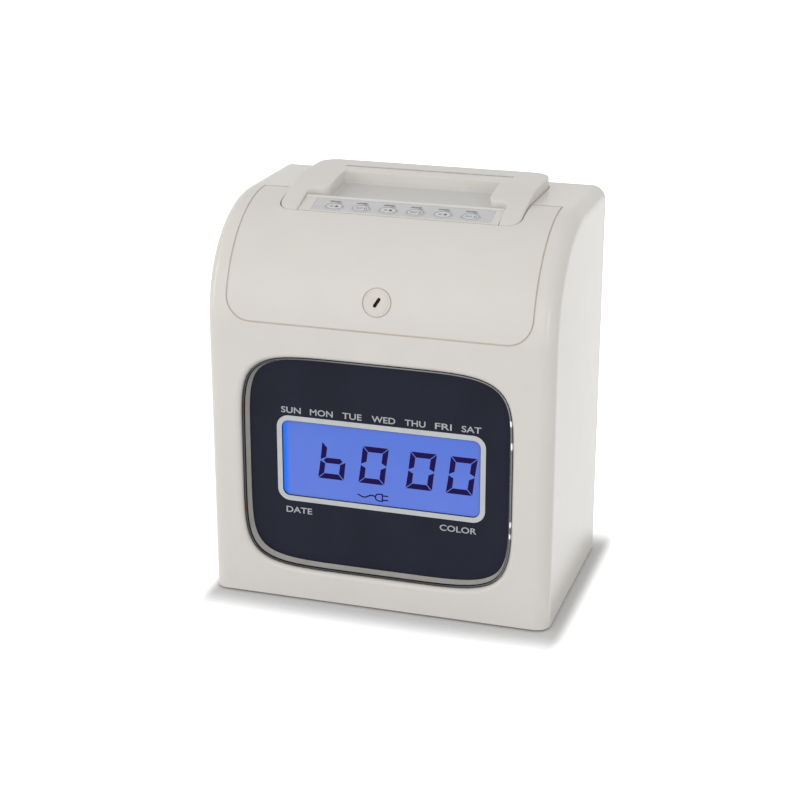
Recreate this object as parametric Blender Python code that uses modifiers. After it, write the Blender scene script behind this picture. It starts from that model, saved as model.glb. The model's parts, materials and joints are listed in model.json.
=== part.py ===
"""Time clock for paper cards: ivory case, locked front cover, card guide with six keys, blue display.

Metres, +Z up, the front faces -Y. The origin is on the table, under the middle of the case.
"""
import math

import bmesh
import bpy
from mathutils import Matrix, Vector

for item in list(bpy.data.objects):
    bpy.data.objects.remove(item, do_unlink=True)

# Fits
FIT = 0.0003
SEAM = 0.0004
OVERRUN = 0.001
EMBED = 0.001

# Case and its covers
CASE_WIDTH = 0.171
CASE_DEPTH = 0.105
CASE_TOP = 0.1945
FOOT_PROUD = 0.001
WALL = 0.0025
ARC_RADIUS = 0.055
EDGE_RADIUS = 0.007
REAR_THICKNESS = 0.0025
REAR_EDGE_RADIUS = 0.0012
BASE_THICKNESS = 0.0025
ARC_STEPS = 16
EDGE_STEPS = 5

# Front cover, its seam, hinge and lock
COVER_MARGIN = 0.011
COVER_BOTTOM_DROP = 0.0523
COVER_CORNER = 0.012
HINGE_BACK = 0.010
HINGE_DROP = 0.0055
HINGE_PIN_RADIUS = 0.0015
HINGE_BOSS_RADIUS = 0.0034
HINGE_LUG_WIDTH = 0.003
HINGE_LUG_INSET = 0.0045
HINGE_LUG_GAP = 0.0009
HINGE_PIN_PROUD = 0.0005
LOCK_DROP = 0.0385
LOCK_SINK = 0.0002
LOCK_FACE_RADIUS = 0.0075
LOCK_FACE_THICKNESS = 0.0012
LOCK_BARREL_RADIUS = 0.0055
LOCK_BARREL_LENGTH = 0.0108
LOCK_BOSS_WALL = 0.0022
KEY_SLIT_LENGTH = 0.0055
KEY_SLIT_WIDTH = 0.0014
KEY_SLIT_DEPTH = 0.003
KEY_SLIT_TILT_DEG = 30
CAM_LENGTH = 0.018
CAM_HALF_WIDTH = 0.004
CAM_THICKNESS = 0.0015
CATCH_CLEARANCE = 0.001
CATCH_HALF_WIDTH = 0.010
CATCH_THICKNESS = 0.0027
CATCH_DROP = 0.0016

# Screws
SCREW_HEAD_RADIUS = 0.003
SCREW_HEAD_HEIGHT = 0.0013
SCREW_RADIUS = 0.0014
SCREW_LENGTH = 0.010
SCREW_BOSS_RADIUS = 0.004
SCREW_BOSS_LENGTH = 0.012
SCREW_INSET = 0.009
BASE_SCREW_HALF_SPAN = 0.014
REAR_SCREW_LOW = 0.024
REAR_SCREW_TOP_DROP = 0.0295
RIB_THICKNESS = 0.003

# Feet
FOOT_RADIUS = 0.007
FOOT_PAD_HEIGHT = 0.0022
FOOT_STEM_RADIUS = 0.003
FOOT_BARB_RADIUS = 0.0038
FOOT_BARB_HEIGHT = 0.0014
FOOT_INSET_X = 0.015
FOOT_INSET_Y = 0.0145

# Rear cover details
KEYHOLE_HALF_SPAN = 0.045
KEYHOLE_DROP = 0.045
KEYHOLE_HEAD_RADIUS = 0.0048
KEYHOLE_SLOT_RADIUS = 0.0024
KEYHOLE_RISE = 0.009
VENT_LENGTH = 0.030
VENT_WIDTH = 0.0022
VENT_PITCH = 0.006
VENT_COUNT = 5
VENT_HEIGHT = 0.062
INLET_OFFSET = 0.026
INLET_HEIGHT = 0.018
INLET_NOSE_RADIUS = 0.0045
INLET_BORE_RADIUS = 0.0028
INLET_BORE_DEPTH = 0.009
INLET_PIN_RADIUS = 0.001
INLET_HALF_WIDTH = 0.006
INLET_LENGTH = 0.013

# Card slot and card guide
CARD_Y_MARGIN = 0.0195
SLOT_END_MARGIN = 0.016
SLOT_WIDTH = 0.0028
GUIDE_SIDE_MARGIN = 0.015
GUIDE_RISE = 0.0055
GUIDE_REAR_MARGIN = 0.0055
GUIDE_FRONT_DEG = 65.8
GUIDE_FRONT_PROUD = 0.0001
GUIDE_REAR_CORNER = 0.009
GUIDE_FRONT_CORNER = 0.0056
GUIDE_DEPTH = 0.006
GUIDE_FLANGE = 0.0045
GUIDE_FLANGE_THICKNESS = 0.002
GUIDE_FLANGE_SETBACK = 0.006
SCOOP_END_MARGIN = 0.0035
SCOOP_WALL_OFFSET = 0.009
SCOOP_DROP = 0.0011
SCOOP_SAG = 0.0006
SCOOP_CORNER = 0.002
BAY_SIDE_MARGIN = 0.0098
BAY_DEPTH = 0.003
BAY_REAR_BACK = 0.0045
BAY_CORNER = 0.004

# Key panel and keys, on a surface tilted like the arc
PANEL_DEG = 73.0
PANEL_SINK = 0.0008
PANEL_SIDE_MARGIN = 0.0052
PANEL_HALF_HEIGHT = 0.0056
KEY_PANEL_THICKNESS = 0.001
BED_RIM = 0.0012
BED_LIP = 0.0017
BED_RIM_PROUD = 0.0004
BED_LIP_PROUD = 0.0007
BED_THICKNESS = 0.0035
BAY_POCKET_MARGIN = 0.0028
KEY_COUNT = 6
KEY_END_MARGIN = 0.01075
KEY_ROW = -0.0018
KEY_SPACING = 0.0041
KEY_HALF_HEIGHT = 0.0031
KEY_PROUD = 0.0004
KEY_TRAVEL = 0.0005
KEY_FLANGE = 0.0007
KEY_FLANGE_THICKNESS = 0.0010
LIGHT_ROW = 0.0032
LIGHT_HALF_LENGTH = 0.0023
LIGHT_HALF_HEIGHT = 0.0006
LIGHT_BAR_HALF_HEIGHT = 0.0009
LIGHT_BAR_THICKNESS = 0.0016
SWITCH_RADIUS = 0.0022
SWITCH_HEIGHT = 0.0010
KEY_BOARD_THICKNESS = 0.0016
KEY_BOARD_MARGIN = 0.0010

# Window, bezel and display stack
WINDOW_SIDE_MARGIN = 0.0177
WINDOW_SILL = 0.016
WINDOW_HEAD_DROP = 0.0162
WINDOW_POWER = 5.5
WINDOW_POINTS = 64
WINDOW_LIP = 0.0022
WINDOW_LIP_START = 0.00005
WINDOW_LIP_STEPS = 4
BEZEL_SINK = 0.0017
BEZEL_RIM_WIDTH = 0.0011
BEZEL_RIM_DROP = 0.0004
BEZEL_LEAN = 0.0008
BEZEL_FLANGE_REACH = 0.0030
BEZEL_FLANGE_DEPTH = 0.0032
DISPLAY_PANEL_THICKNESS = 0.002
LCD_SIDE_MARGIN = 0.0181
LCD_HALF_HEIGHT = 0.0194
LCD_RISE = 0.001
LCD_CORNER = 0.0035
LCD_BORDER = 0.0033
LCD_THICKNESS = 0.002
BACKLIGHT_THICKNESS = 0.0035
MAIN_BOARD_SIDE_MARGIN = 0.0078
MAIN_BOARD_END_MARGIN = 0.014
BOARD_THICKNESS = 0.0016
CHIP_HALF = 0.007
CHIP_HEIGHT = 0.002
CAPACITOR_RADIUS = 0.004
CAPACITOR_HEIGHT = 0.011
CONNECTOR_HALF_LENGTH = 0.012
CONNECTOR_HALF_HEIGHT = 0.0025
CONNECTOR_HEIGHT = 0.006
BUZZER_RADIUS = 0.007
BUZZER_HEIGHT = 0.006

# Printer chassis
CHASSIS_DROP = 0.0632
SHEET = 0.0015
CHASSIS_REACH = 0.047
CHASSIS_REAR_MARGIN = 0.006
CHASSIS_SIDE_INSET = 0.0015
CHASSIS_SIDE_HEIGHT = 0.0465
LEDGE_REACH = 0.003
LEDGE_HEIGHT = 0.003
TAB_OVERLAP = 0.002
TAB_SETBACK = 0.013

# Card chute
CHANNEL_WIDTH = 0.003
CHANNEL_SIDE_CLEARANCE = 0.0007
CHUTE_SHEET = 0.0012
CHUTE_RIB = 0.0016
CHUTE_FOOT = 0.0185
PRINT_WINDOW_MARGIN = 0.0015
PRINT_WINDOW_HALF_HEIGHT = 0.0062
TONGUE_SLOT_HALF_WIDTH = 0.0028

# Card lifter
LIFTER_ROD_INSET = 0.0055
LIFTER_Y_OFFSET = 0.0080
LIFTER_HALF_DEPTH = 0.004
LIFTER_SIDE_MARGIN = 0.0005
LIFTER_HEIGHT = 0.008
LIFTER_REST = 0.0225
TONGUE_INSET = 0.0215
TONGUE_HALF_WIDTH = 0.0022
TONGUE_HEIGHT = 0.004
GUIDE_ROD_RADIUS = 0.002
LIFT_SCREW_RADIUS = 0.003
MOTOR_SHAFT_RADIUS = 0.0015
MOTOR_SHAFT_DEPTH = 0.005
LIFT_MOTOR_RADIUS = 0.0085
LIFT_MOTOR_HEIGHT = 0.0155
ROD_PROUD = 0.002

# Print carriage
PRINT_DROP = 0.0265
SHAFT_RADIUS = 0.0025
SHAFT_DROP = 0.016
SHAFT_REAR_OFFSET = 0.011
SHAFT_SPACING = 0.015
SHAFT_PROUD = 0.0003
CARRIAGE_HALF_WIDTH = 0.013
CARRIAGE_MARGIN = 0.0045
CARRIAGE_BELOW = 0.006
CARRIAGE_ABOVE = 0.0077
HEAD_HALF_WIDTH = 0.009
HEAD_HALF_HEIGHT = 0.008
HEAD_DEPTH = 0.016
NOSE_HALF_WIDTH = 0.0035
NOSE_HALF_HEIGHT = 0.004
NOSE_LENGTH = 0.003
RIBBON_GAP = 0.0006
RIBBON_HALF_HEIGHT = 0.006
RIBBON_THICKNESS = 0.0003
RIBBON_TO_CHUTE = 0.0021
PULLEY_INSET = 0.012
PULLEY_RADIUS = 0.0053
PULLEY_HEIGHT = 0.0068
PULLEY_BOTTOM_DROP = 0.0023
BELT_THICKNESS = 0.001
BELT_HALF_HEIGHT = 0.0028
BELT_LUG_HALF_WIDTH = 0.005
BELT_LUG_REACH = 0.0022
BELT_TO_CARRIAGE = 0.0022
CARRIAGE_MOTOR_RADIUS = 0.009
CARRIAGE_MOTOR_HEIGHT = 0.0115
PLATEN_HALF_HEIGHT = 0.0055
PLATEN_PAD_MARGIN = 0.0006
PLATEN_DEPTH = 0.0055
PLATEN_SINK = 0.0001

# Ribbon cassette
CASSETTE_SIDE_GAP = 0.0045
CASSETTE_HALF_HEIGHT = 0.007
CASSETTE_FRONT_GAP = 0.0225
CASSETTE_TO_HEAD = 0.0063
CASSETTE_ARM = 0.007
KNOB_INSET_X = 0.016
KNOB_INSET_Y = 0.012
KNOB_RADIUS = 0.006
KNOB_HEIGHT = 0.0038
KNOB_STEM_RADIUS = 0.0015
KNOB_STEM_LENGTH = 0.004

# Power
BATTERY_SIDE_MARGIN = 0.0245
BATTERY_Y = -0.006
BATTERY_HALF_LENGTH = 0.016
BATTERY_HALF_DEPTH = 0.023
BATTERY_HEIGHT = 0.015
BATTERY_CORNER = 0.005
POWER_BOARD_SIDE_MARGIN = 0.0255
POWER_BOARD_Y = -0.008
POWER_BOARD_HALF_WIDTH = 0.020
POWER_BOARD_HALF_DEPTH = 0.022
POWER_POST_HEIGHT = 0.004
POWER_POST_RADIUS = 0.003
POWER_POST_INSET = 0.005

ROUND_SIDES = 16
PIN_SIDES = 12
CORNER_STEPS = 4

# Places worked out from the sizes
HALF_WIDTH = CASE_WIDTH / 2
FRONT = -CASE_DEPTH / 2
BACK = CASE_DEPTH / 2
REAR_INNER = BACK - REAR_THICKNESS
CASE_REAR = REAR_INNER - FIT
SIDE_INNER = HALF_WIDTH - WALL
ARC_Y = FRONT + ARC_RADIUS
ARC_Z = CASE_TOP - ARC_RADIUS
BASE_TOP = FOOT_PROUD + BASE_THICKNESS
SKY = CASE_TOP + GUIDE_RISE + OVERRUN

COVER_HALF = HALF_WIDTH - COVER_MARGIN
COVER_BOTTOM = CASE_TOP - COVER_BOTTOM_DROP
HINGE_Y = ARC_Y - HINGE_BACK
HINGE_Z = CASE_TOP - HINGE_DROP
HINGE_REACH = math.hypot(HINGE_BACK, HINGE_DROP)
LOCK_ANGLE = math.asin((CASE_TOP - LOCK_DROP - ARC_Z) / ARC_RADIUS)

WINDOW_HALF_WIDTH = HALF_WIDTH - WINDOW_SIDE_MARGIN
WINDOW_TOP = COVER_BOTTOM - WINDOW_HEAD_DROP
WINDOW_HALF_HEIGHT = (WINDOW_TOP - WINDOW_SILL) / 2
WINDOW_CENTRE = (WINDOW_TOP + WINDOW_SILL) / 2
LCD_HALF_WIDTH = WINDOW_HALF_WIDTH - LCD_SIDE_MARGIN
MAIN_BOARD_HALF_WIDTH = WINDOW_HALF_WIDTH - MAIN_BOARD_SIDE_MARGIN
MAIN_BOARD_HALF_HEIGHT = WINDOW_HALF_HEIGHT - MAIN_BOARD_END_MARGIN

CARD_Y = BACK - CARD_Y_MARGIN
GUIDE_TOP = CASE_TOP + GUIDE_RISE
GUIDE_BACK = BACK - GUIDE_REAR_MARGIN
GUIDE_FRONT = ARC_Y - ARC_RADIUS * math.cos(math.radians(GUIDE_FRONT_DEG))
GUIDE_UNDER = CASE_TOP - GUIDE_DEPTH
SCOOP_BACK = CARD_Y - SCOOP_WALL_OFFSET
GUIDE_HALF_WIDTH = COVER_HALF - GUIDE_SIDE_MARGIN
SLOT_HALF_LENGTH = GUIDE_HALF_WIDTH - SLOT_END_MARGIN
SCOOP_HALF_WIDTH = SLOT_HALF_LENGTH - SCOOP_END_MARGIN
BAY_HALF_WIDTH = GUIDE_HALF_WIDTH - BAY_SIDE_MARGIN
PANEL_HALF_WIDTH = BAY_HALF_WIDTH - PANEL_SIDE_MARGIN
KEY_PITCH = 2 * (PANEL_HALF_WIDTH - KEY_END_MARGIN) / (KEY_COUNT - 1)
KEY_HALF_LENGTH = (KEY_PITCH - KEY_SPACING) / 2

CHASSIS_FLOOR = CASE_TOP - CHASSIS_DROP
CHASSIS_DECK = CHASSIS_FLOOR + SHEET
CHASSIS_FRONT = CARD_Y - CHASSIS_REACH
CHASSIS_REAR = REAR_INNER - CHASSIS_REAR_MARGIN
CHASSIS_SIDE = GUIDE_HALF_WIDTH - CHASSIS_SIDE_INSET
CHASSIS_SIDE_INNER = CHASSIS_SIDE - SHEET
CHASSIS_HEAD = CHASSIS_FLOOR + CHASSIS_SIDE_HEIGHT
TAB_REACH = CASSETTE_SIDE_GAP + TAB_OVERLAP
TAB_REAR = CARD_Y - TAB_SETBACK
CHANNEL_FRONT = CARD_Y - CHANNEL_WIDTH / 2
CHANNEL_BACK = CARD_Y + CHANNEL_WIDTH / 2
CHANNEL_HALF = SLOT_HALF_LENGTH + CHANNEL_SIDE_CLEARANCE
CHUTE_HALF = CHANNEL_HALF + CHUTE_RIB
CHUTE_LOW = BASE_TOP + CHUTE_FOOT
CHUTE_TOP = GUIDE_UNDER - FIT
PRINT_WINDOW_HALF_WIDTH = SLOT_HALF_LENGTH - PRINT_WINDOW_MARGIN
PRINT_Z = CASE_TOP - PRINT_DROP

LIFTER_Y = CHANNEL_BACK + LIFTER_Y_OFFSET - CHANNEL_WIDTH / 2
LIFTER_HALF_WIDTH = CHASSIS_SIDE - LIFTER_SIDE_MARGIN
LIFTER_X = LIFTER_HALF_WIDTH - LIFTER_ROD_INSET
TONGUE_X = SLOT_HALF_LENGTH - TONGUE_INSET
LIFTER_LOW = BASE_TOP + LIFTER_REST
LIFT_MOTOR_LOW = BASE_TOP + FIT
LIFT_MOTOR_TOP = LIFT_MOTOR_LOW + LIFT_MOTOR_HEIGHT

RIBBON_BACK = CHANNEL_FRONT - CHUTE_SHEET - RIBBON_TO_CHUTE
RIBBON_FRONT = RIBBON_BACK - RIBBON_THICKNESS
HEAD_TIP = RIBBON_FRONT - RIBBON_GAP
HEAD_BACK = HEAD_TIP - NOSE_LENGTH
HEAD_FRONT = HEAD_BACK - HEAD_DEPTH
SHAFT_Z = PRINT_Z - SHAFT_DROP
SHAFT_REAR_Y = CARD_Y - SHAFT_REAR_OFFSET
SHAFT_FRONT_Y = SHAFT_REAR_Y - SHAFT_SPACING
CARRIAGE_REAR = SHAFT_REAR_Y + CARRIAGE_MARGIN
CARRIAGE_FRONT = SHAFT_FRONT_Y - CARRIAGE_MARGIN
CARRIAGE_TOP = SHAFT_Z + CARRIAGE_ABOVE
BELT_Y = CARRIAGE_FRONT - BELT_TO_CARRIAGE
PULLEY_X = CHASSIS_SIDE - PULLEY_INSET
PULLEY_Y = BELT_Y - PULLEY_RADIUS - FIT - BELT_THICKNESS / 2
BELT_Z = SHAFT_Z + FIT
PULLEY_LOW = BELT_Z - BELT_HALF_HEIGHT - FIT
DECK_SEAT = CHASSIS_DECK + FIT

CASSETTE_HALF_WIDTH = CHASSIS_SIDE_INNER - CASSETTE_SIDE_GAP
CASSETTE_FRONT = FRONT + CASSETTE_FRONT_GAP
CASSETTE_BODY_REAR = HEAD_FRONT - CASSETTE_TO_HEAD
KNOB_X = CASSETTE_HALF_WIDTH - KNOB_INSET_X
KNOB_Y = CASSETTE_FRONT + KNOB_INSET_Y

BATTERY_X = HALF_WIDTH - BATTERY_SIDE_MARGIN - BATTERY_HALF_LENGTH
POWER_BOARD_X = HALF_WIDTH - POWER_BOARD_SIDE_MARGIN - POWER_BOARD_HALF_WIDTH
INLET_X = LIFTER_X - INLET_OFFSET

PARTS = bpy.data.collections.new("time_clock")
CUTTERS = bpy.data.collections.new("cutters")
for collection in (PARTS, CUTTERS):
    bpy.context.scene.collection.children.link(collection)

# Each colour with its roughness and its metallic value
FINISHES = {
    "ivory_plastic": ((0.70, 0.66, 0.60), 0.35, 0.0),
    "grey_panel": ((0.56, 0.56, 0.57), 0.45, 0.0),
    "key_grey": ((0.62, 0.62, 0.62), 0.4, 0.0),
    "clear_light": ((0.75, 0.75, 0.72), 0.2, 0.0),
    "chrome": ((0.75, 0.75, 0.75), 0.08, 1.0),
    "dark_panel": ((0.016, 0.02, 0.03), 0.15, 0.0),
    "display_blue": ((0.11, 0.19, 0.72), 0.2, 0.0),
    "white_plastic": ((0.8, 0.8, 0.8), 0.4, 0.0),
    "circuit_board": ((0.02, 0.16, 0.06), 0.45, 0.0),
    "black_plastic": ((0.02, 0.02, 0.02), 0.45, 0.0),
    "grey_plastic": ((0.25, 0.25, 0.25), 0.5, 0.0),
    "rubber": ((0.03, 0.03, 0.03), 0.8, 0.0),
    "steel": ((0.55, 0.55, 0.56), 0.3, 1.0),
    "zinc_sheet": ((0.5, 0.51, 0.52), 0.4, 1.0),
    "ribbon_cloth": ((0.03, 0.02, 0.05), 0.9, 0.0),
}


def finish(name):
    """The Principled material of that name, made once."""
    if name in bpy.data.materials:
        return bpy.data.materials[name]
    colour, roughness, metallic = FINISHES[name]
    material = bpy.data.materials.new(name)
    material.use_nodes = True
    shader = material.node_tree.nodes["Principled BSDF"]
    shader.inputs["Base Color"].default_value = (*colour, 1.0)
    shader.inputs["Roughness"].default_value = roughness
    shader.inputs["Metallic"].default_value = metallic
    return material


def add_object(name, mesh):
    """A new object among the cutters; keep() makes it a part."""
    thing = bpy.data.objects.new(name, mesh)
    CUTTERS.objects.link(thing)
    thing.hide_render = True
    thing.display_type = "WIRE"
    return thing


def keep(thing, name, material, origin=None):
    """Make the object a part of the clock, with its origin on its joint where it has one."""
    CUTTERS.objects.unlink(thing)
    PARTS.objects.link(thing)
    thing.name = name
    thing.hide_render = False
    thing.display_type = "TEXTURED"
    thing.data.materials.clear()
    thing.data.materials.append(finish(material))
    if origin is not None:
        thing.data.transform(Matrix.Translation(-Vector(origin)))
        thing.location = origin
    thing.data.shade_smooth()
    thing.data.set_sharp_from_angle(angle=math.radians(30))
    return thing


def mesh_from(shape, place=None):
    """The finished mesh of a bmesh, faces turned outwards, moved to its place."""
    bmesh.ops.recalc_face_normals(shape, faces=shape.faces)
    if shape.calc_volume(signed=True) < 0:
        bmesh.ops.reverse_faces(shape, faces=shape.faces)
    if place is not None:
        shape.transform(place)
    mesh = bpy.data.meshes.new("shape")
    shape.to_mesh(mesh)
    shape.free()
    return mesh


def block(low, high, place=None):
    """A box between two opposite corners."""
    low, high = Vector(low), Vector(high)
    shape = bmesh.new()
    bmesh.ops.create_cube(shape, size=1)
    size = Matrix.Diagonal((*(high - low), 1))
    shape.transform(Matrix.Translation((low + high) / 2) @ size)
    return add_object("block", mesh_from(shape, place))


def rod(start, end, radius, sides=ROUND_SIDES, place=None, end_radius=None):
    """A round bar, or a cone, from start to end."""
    start, end = Vector(start), Vector(end)
    along = end - start
    shape = bmesh.new()
    bmesh.ops.create_cone(
        shape, cap_ends=True, segments=sides, radius1=radius,
        radius2=radius if end_radius is None else end_radius, depth=along.length)
    turn = Vector((0, 0, 1)).rotation_difference(along).to_matrix().to_4x4()
    shape.transform(Matrix.Translation((start + end) / 2) @ turn)
    return add_object("rod", mesh_from(shape, place))


AXES = {
    "X": Matrix(((0, 0, 1), (1, 0, 0), (0, 1, 0))).to_4x4(),
    "Y": Matrix(((1, 0, 0), (0, 0, -1), (0, 1, 0))).to_4x4(),
    "Z": Matrix.Identity(4),
}


def prism(outline, axis, low, high, place=None):
    """A flat outline, drawn as a filled curve and drawn out along an axis from low to high."""
    curve = bpy.data.curves.new("outline", "CURVE")
    curve.dimensions = "2D"
    curve.fill_mode = "BOTH"
    curve.extrude = abs(high - low) / 2
    spline = curve.splines.new("POLY")
    spline.points.add(len(outline) - 1)
    for point, (a, b) in zip(spline.points, outline):
        point.co = (a, b, 0, 1)
    spline.use_cyclic_u = True
    guide = bpy.data.objects.new("outline", curve)
    CUTTERS.objects.link(guide)
    graph = bpy.context.evaluated_depsgraph_get()
    mesh = bpy.data.meshes.new_from_object(guide.evaluated_get(graph))
    bpy.data.objects.remove(guide, do_unlink=True)
    shape = bmesh.new()
    shape.from_mesh(mesh)
    bmesh.ops.remove_doubles(shape, verts=shape.verts, dist=OVERRUN / 100)
    bmesh.ops.dissolve_limit(shape, angle_limit=math.radians(0.5), verts=shape.verts, edges=shape.edges)
    middle = (low + high) / 2
    if axis == "Y":
        middle = -middle
    shape.transform(AXES[axis] @ Matrix.Translation((0, 0, middle)))
    bpy.data.meshes.remove(mesh)
    return add_object("prism", mesh_from(shape, place))


def turned(profile, centre, sides=ROUND_SIDES, place=None):
    """A turned body: (radius, height) points run down its outer side, spun about the Z axis at centre."""
    mesh = bpy.data.meshes.new("profile")
    points = [(radius, 0, height) for radius, height in profile]
    mesh.from_pydata(points, [(i, i + 1) for i in range(len(points) - 1)], [])
    thing = add_object("turned", mesh)
    thing.location = centre
    if place is not None:
        thing.matrix_world = place @ Matrix.Translation(centre)
    spin = thing.modifiers.new("spin", "SCREW")
    spin.axis = "Z"
    spin.steps = sides
    spin.render_steps = sides
    spin.use_merge_vertices = True
    spin.merge_threshold = OVERRUN / 100
    return thing


def combine(thing, tool, operation):
    """One Boolean modifier."""
    modifier = thing.modifiers.new(operation.lower(), "BOOLEAN")
    modifier.operation = operation
    modifier.object = tool
    modifier.solver = "EXACT"
    return thing


def cut(thing, *tools):
    for tool in tools:
        combine(thing, tool, "DIFFERENCE")
    return thing


def fuse(thing, *tools):
    for tool in tools:
        combine(thing, tool, "UNION")
    return thing


def trim(thing, *tools):
    for tool in tools:
        combine(thing, tool, "INTERSECT")
    return thing


def bevel_where(thing, chosen, radius, segments):
    """Round the edges whose two end points both satisfy chosen and whose faces meet at an angle."""
    shape = bmesh.new()
    shape.from_mesh(thing.data)
    edges = []
    for edge in shape.edges:
        if len(edge.link_faces) == 2 and edge.calc_face_angle() > math.radians(30):
            if chosen(edge.verts[0].co, edge.verts[1].co):
                edges.append(edge)
    bmesh.ops.bevel(
        shape, geom=edges, offset=radius, offset_type="OFFSET", segments=segments,
        profile=0.5, affect="EDGES", clamp_overlap=False)
    shape.to_mesh(thing.data)
    shape.free()
    return thing


def arc_points(centre, radius, start_deg, end_deg, steps):
    """Points on an arc, both ends included."""
    points = []
    for step in range(steps + 1):
        angle = math.radians(start_deg + (end_deg - start_deg) * step / steps)
        points.append((centre[0] + radius * math.cos(angle), centre[1] + radius * math.sin(angle)))
    return points


def rounded_box(low, high, radii, steps=CORNER_STEPS):
    """A rectangle whose four corners, from the low one anticlockwise, have their own radii."""
    corners = (
        (low[0], low[1], 1, 1, 180), (high[0], low[1], -1, 1, 270),
        (high[0], high[1], -1, -1, 0), (low[0], high[1], 1, -1, 90))
    points = []
    for (a, b, to_a, to_b, start), radius in zip(corners, radii):
        if radius > 0:
            centre = (a + to_a * radius, b + to_b * radius)
            points += arc_points(centre, radius, start, start + 90, steps)
        else:
            points.append((a, b))
    return points


def oval(centre, half_length, half_height, steps):
    """An ellipse."""
    points = []
    for step in range(steps):
        angle = math.tau * step / steps
        a = centre[0] + half_length * math.cos(angle)
        points.append((a, centre[1] + half_height * math.sin(angle)))
    return points


def on_arc(angle, sink):
    """The frame of a point on the curved front: X along the clock, Y up the slope, Z outwards."""
    radius = ARC_RADIUS - sink
    up = (0, math.sin(angle), math.cos(angle))
    out = (0, -math.cos(angle), math.sin(angle))
    at = (0, ARC_Y - radius * math.cos(angle), ARC_Z + radius * math.sin(angle))
    place = Matrix.Identity(4)
    for row in range(3):
        place[row][1] = up[row]
        place[row][2] = out[row]
        place[row][3] = at[row]
    return place


LOCK_FRAME = on_arc(LOCK_ANGLE, 0)
PANEL_FRAME = on_arc(math.radians(PANEL_DEG), PANEL_SINK)


def case_solid(inset, low, rear):
    """The case's outline as a solid, moved in by inset, its long side edges rounded."""
    radius = ARC_RADIUS - inset
    outline = [(FRONT + inset, low)]
    outline += arc_points((ARC_Y, ARC_Z), radius, 180, 90, ARC_STEPS)
    outline += [(rear, ARC_Z + radius), (rear, low)]
    half = HALF_WIDTH - inset
    solid = prism(outline, "X", -half, half)
    edge_radius = EDGE_RADIUS - inset

    def side_edge(a, b):
        near = OVERRUN / 10
        on_side = abs(abs(a.x) - half) < near and abs(abs(b.x) - half) < near and a.x * b.x > 0
        on_rear = abs(a.y - rear) < near and abs(b.y - rear) < near
        on_floor = abs(a.z - low) < near and abs(b.z - low) < near
        return on_side and not on_rear and not on_floor

    return bevel_where(solid, side_edge, edge_radius, EDGE_STEPS)


def rear_seam_outline(gap):
    """Side view of what the front cover takes up; its rear edge follows the swing round the hinge."""
    reach = HINGE_REACH + gap
    top_y = HINGE_Y + math.sqrt(reach ** 2 - HINGE_DROP ** 2)
    inner_drop = HINGE_DROP - WALL
    inner_y = HINGE_Y + math.sqrt(reach ** 2 - inner_drop ** 2)
    slope = (inner_y - top_y) / WALL
    above = SKY - CASE_TOP
    below = WALL + HINGE_BOSS_RADIUS
    return [
        (FRONT - OVERRUN, COVER_BOTTOM - COVER_CORNER), (inner_y + slope * (below - WALL), COVER_BOTTOM - COVER_CORNER),
        (inner_y + slope * (below - WALL), CASE_TOP - below), (top_y - slope * above, SKY),
        (FRONT - OVERRUN, SKY)]


def cover_region(gap):
    """The space of the front cover, grown by gap on every seam."""
    half = COVER_HALF + gap
    corner = COVER_CORNER + gap
    front_view = rounded_box((-half, COVER_BOTTOM - gap), (half, SKY + OVERRUN), (corner, corner, 0, 0), 6)
    region = prism(front_view, "Y", FRONT - OVERRUN * 2, CASE_REAR)
    side_view = prism(rear_seam_outline(gap), "X", -HALF_WIDTH, HALF_WIDTH)
    return trim(region, side_view)


def guide_plan(grow):
    """Top view of the card guide, grown by grow."""
    half = GUIDE_HALF_WIDTH + grow
    front = GUIDE_FRONT_CORNER + grow
    rear = GUIDE_REAR_CORNER + grow
    return rounded_box((-half, GUIDE_FRONT - grow), (half, GUIDE_BACK + grow), (front, front, rear, rear), 6)


def window_outline(grow):
    """The window's bowed outline with round corners, moved out by grow along its normal."""
    points = []
    power = WINDOW_POWER
    for step in range(WINDOW_POINTS):
        angle = math.tau * (step + 0.5) / WINDOW_POINTS
        cosine, sine = math.cos(angle), math.sin(angle)
        a = WINDOW_HALF_WIDTH * math.copysign(abs(cosine) ** (2 / power), cosine)
        b = WINDOW_HALF_HEIGHT * math.copysign(abs(sine) ** (2 / power), sine)
        slope_a = math.copysign(abs(a / WINDOW_HALF_WIDTH) ** (power - 1) / WINDOW_HALF_WIDTH, a)
        slope_b = math.copysign(abs(b / WINDOW_HALF_HEIGHT) ** (power - 1) / WINDOW_HALF_HEIGHT, b)
        size = math.hypot(slope_a, slope_b)
        points.append((a + grow * slope_a / size, WINDOW_CENTRE + b + grow * slope_b / size))
    return points


def window_loft(section, ring):
    """A loft through the window's outline: (grow, depth) pairs, closed on itself or capped."""
    shape = bmesh.new()
    loops = []
    for grow, depth in section:
        loops.append([shape.verts.new((a, FRONT + depth, b)) for a, b in window_outline(grow)])
    count = len(loops)
    for row in range(count if ring else count - 1):
        near, far = loops[row], loops[(row + 1) % count]
        for i in range(WINDOW_POINTS):
            j = (i + 1) % WINDOW_POINTS
            shape.faces.new((near[i], near[j], far[j], far[i]))
    if not ring:
        shape.faces.new(loops[0])
        shape.faces.new(loops[-1])
    return add_object("loft", mesh_from(shape))


def window_cutter():
    """The opening in the case, its front edge rolled in."""
    section = [(WINDOW_LIP, -OVERRUN)]
    for step in range(WINDOW_LIP_STEPS + 1):
        angle = math.radians(90) * step / WINDOW_LIP_STEPS
        section.append((WINDOW_LIP * (1 - math.sin(angle)), WINDOW_LIP_START + WINDOW_LIP * (1 - math.cos(angle))))
    section.append((0, WALL + OVERRUN))
    return window_loft(section, ring=False)


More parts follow.
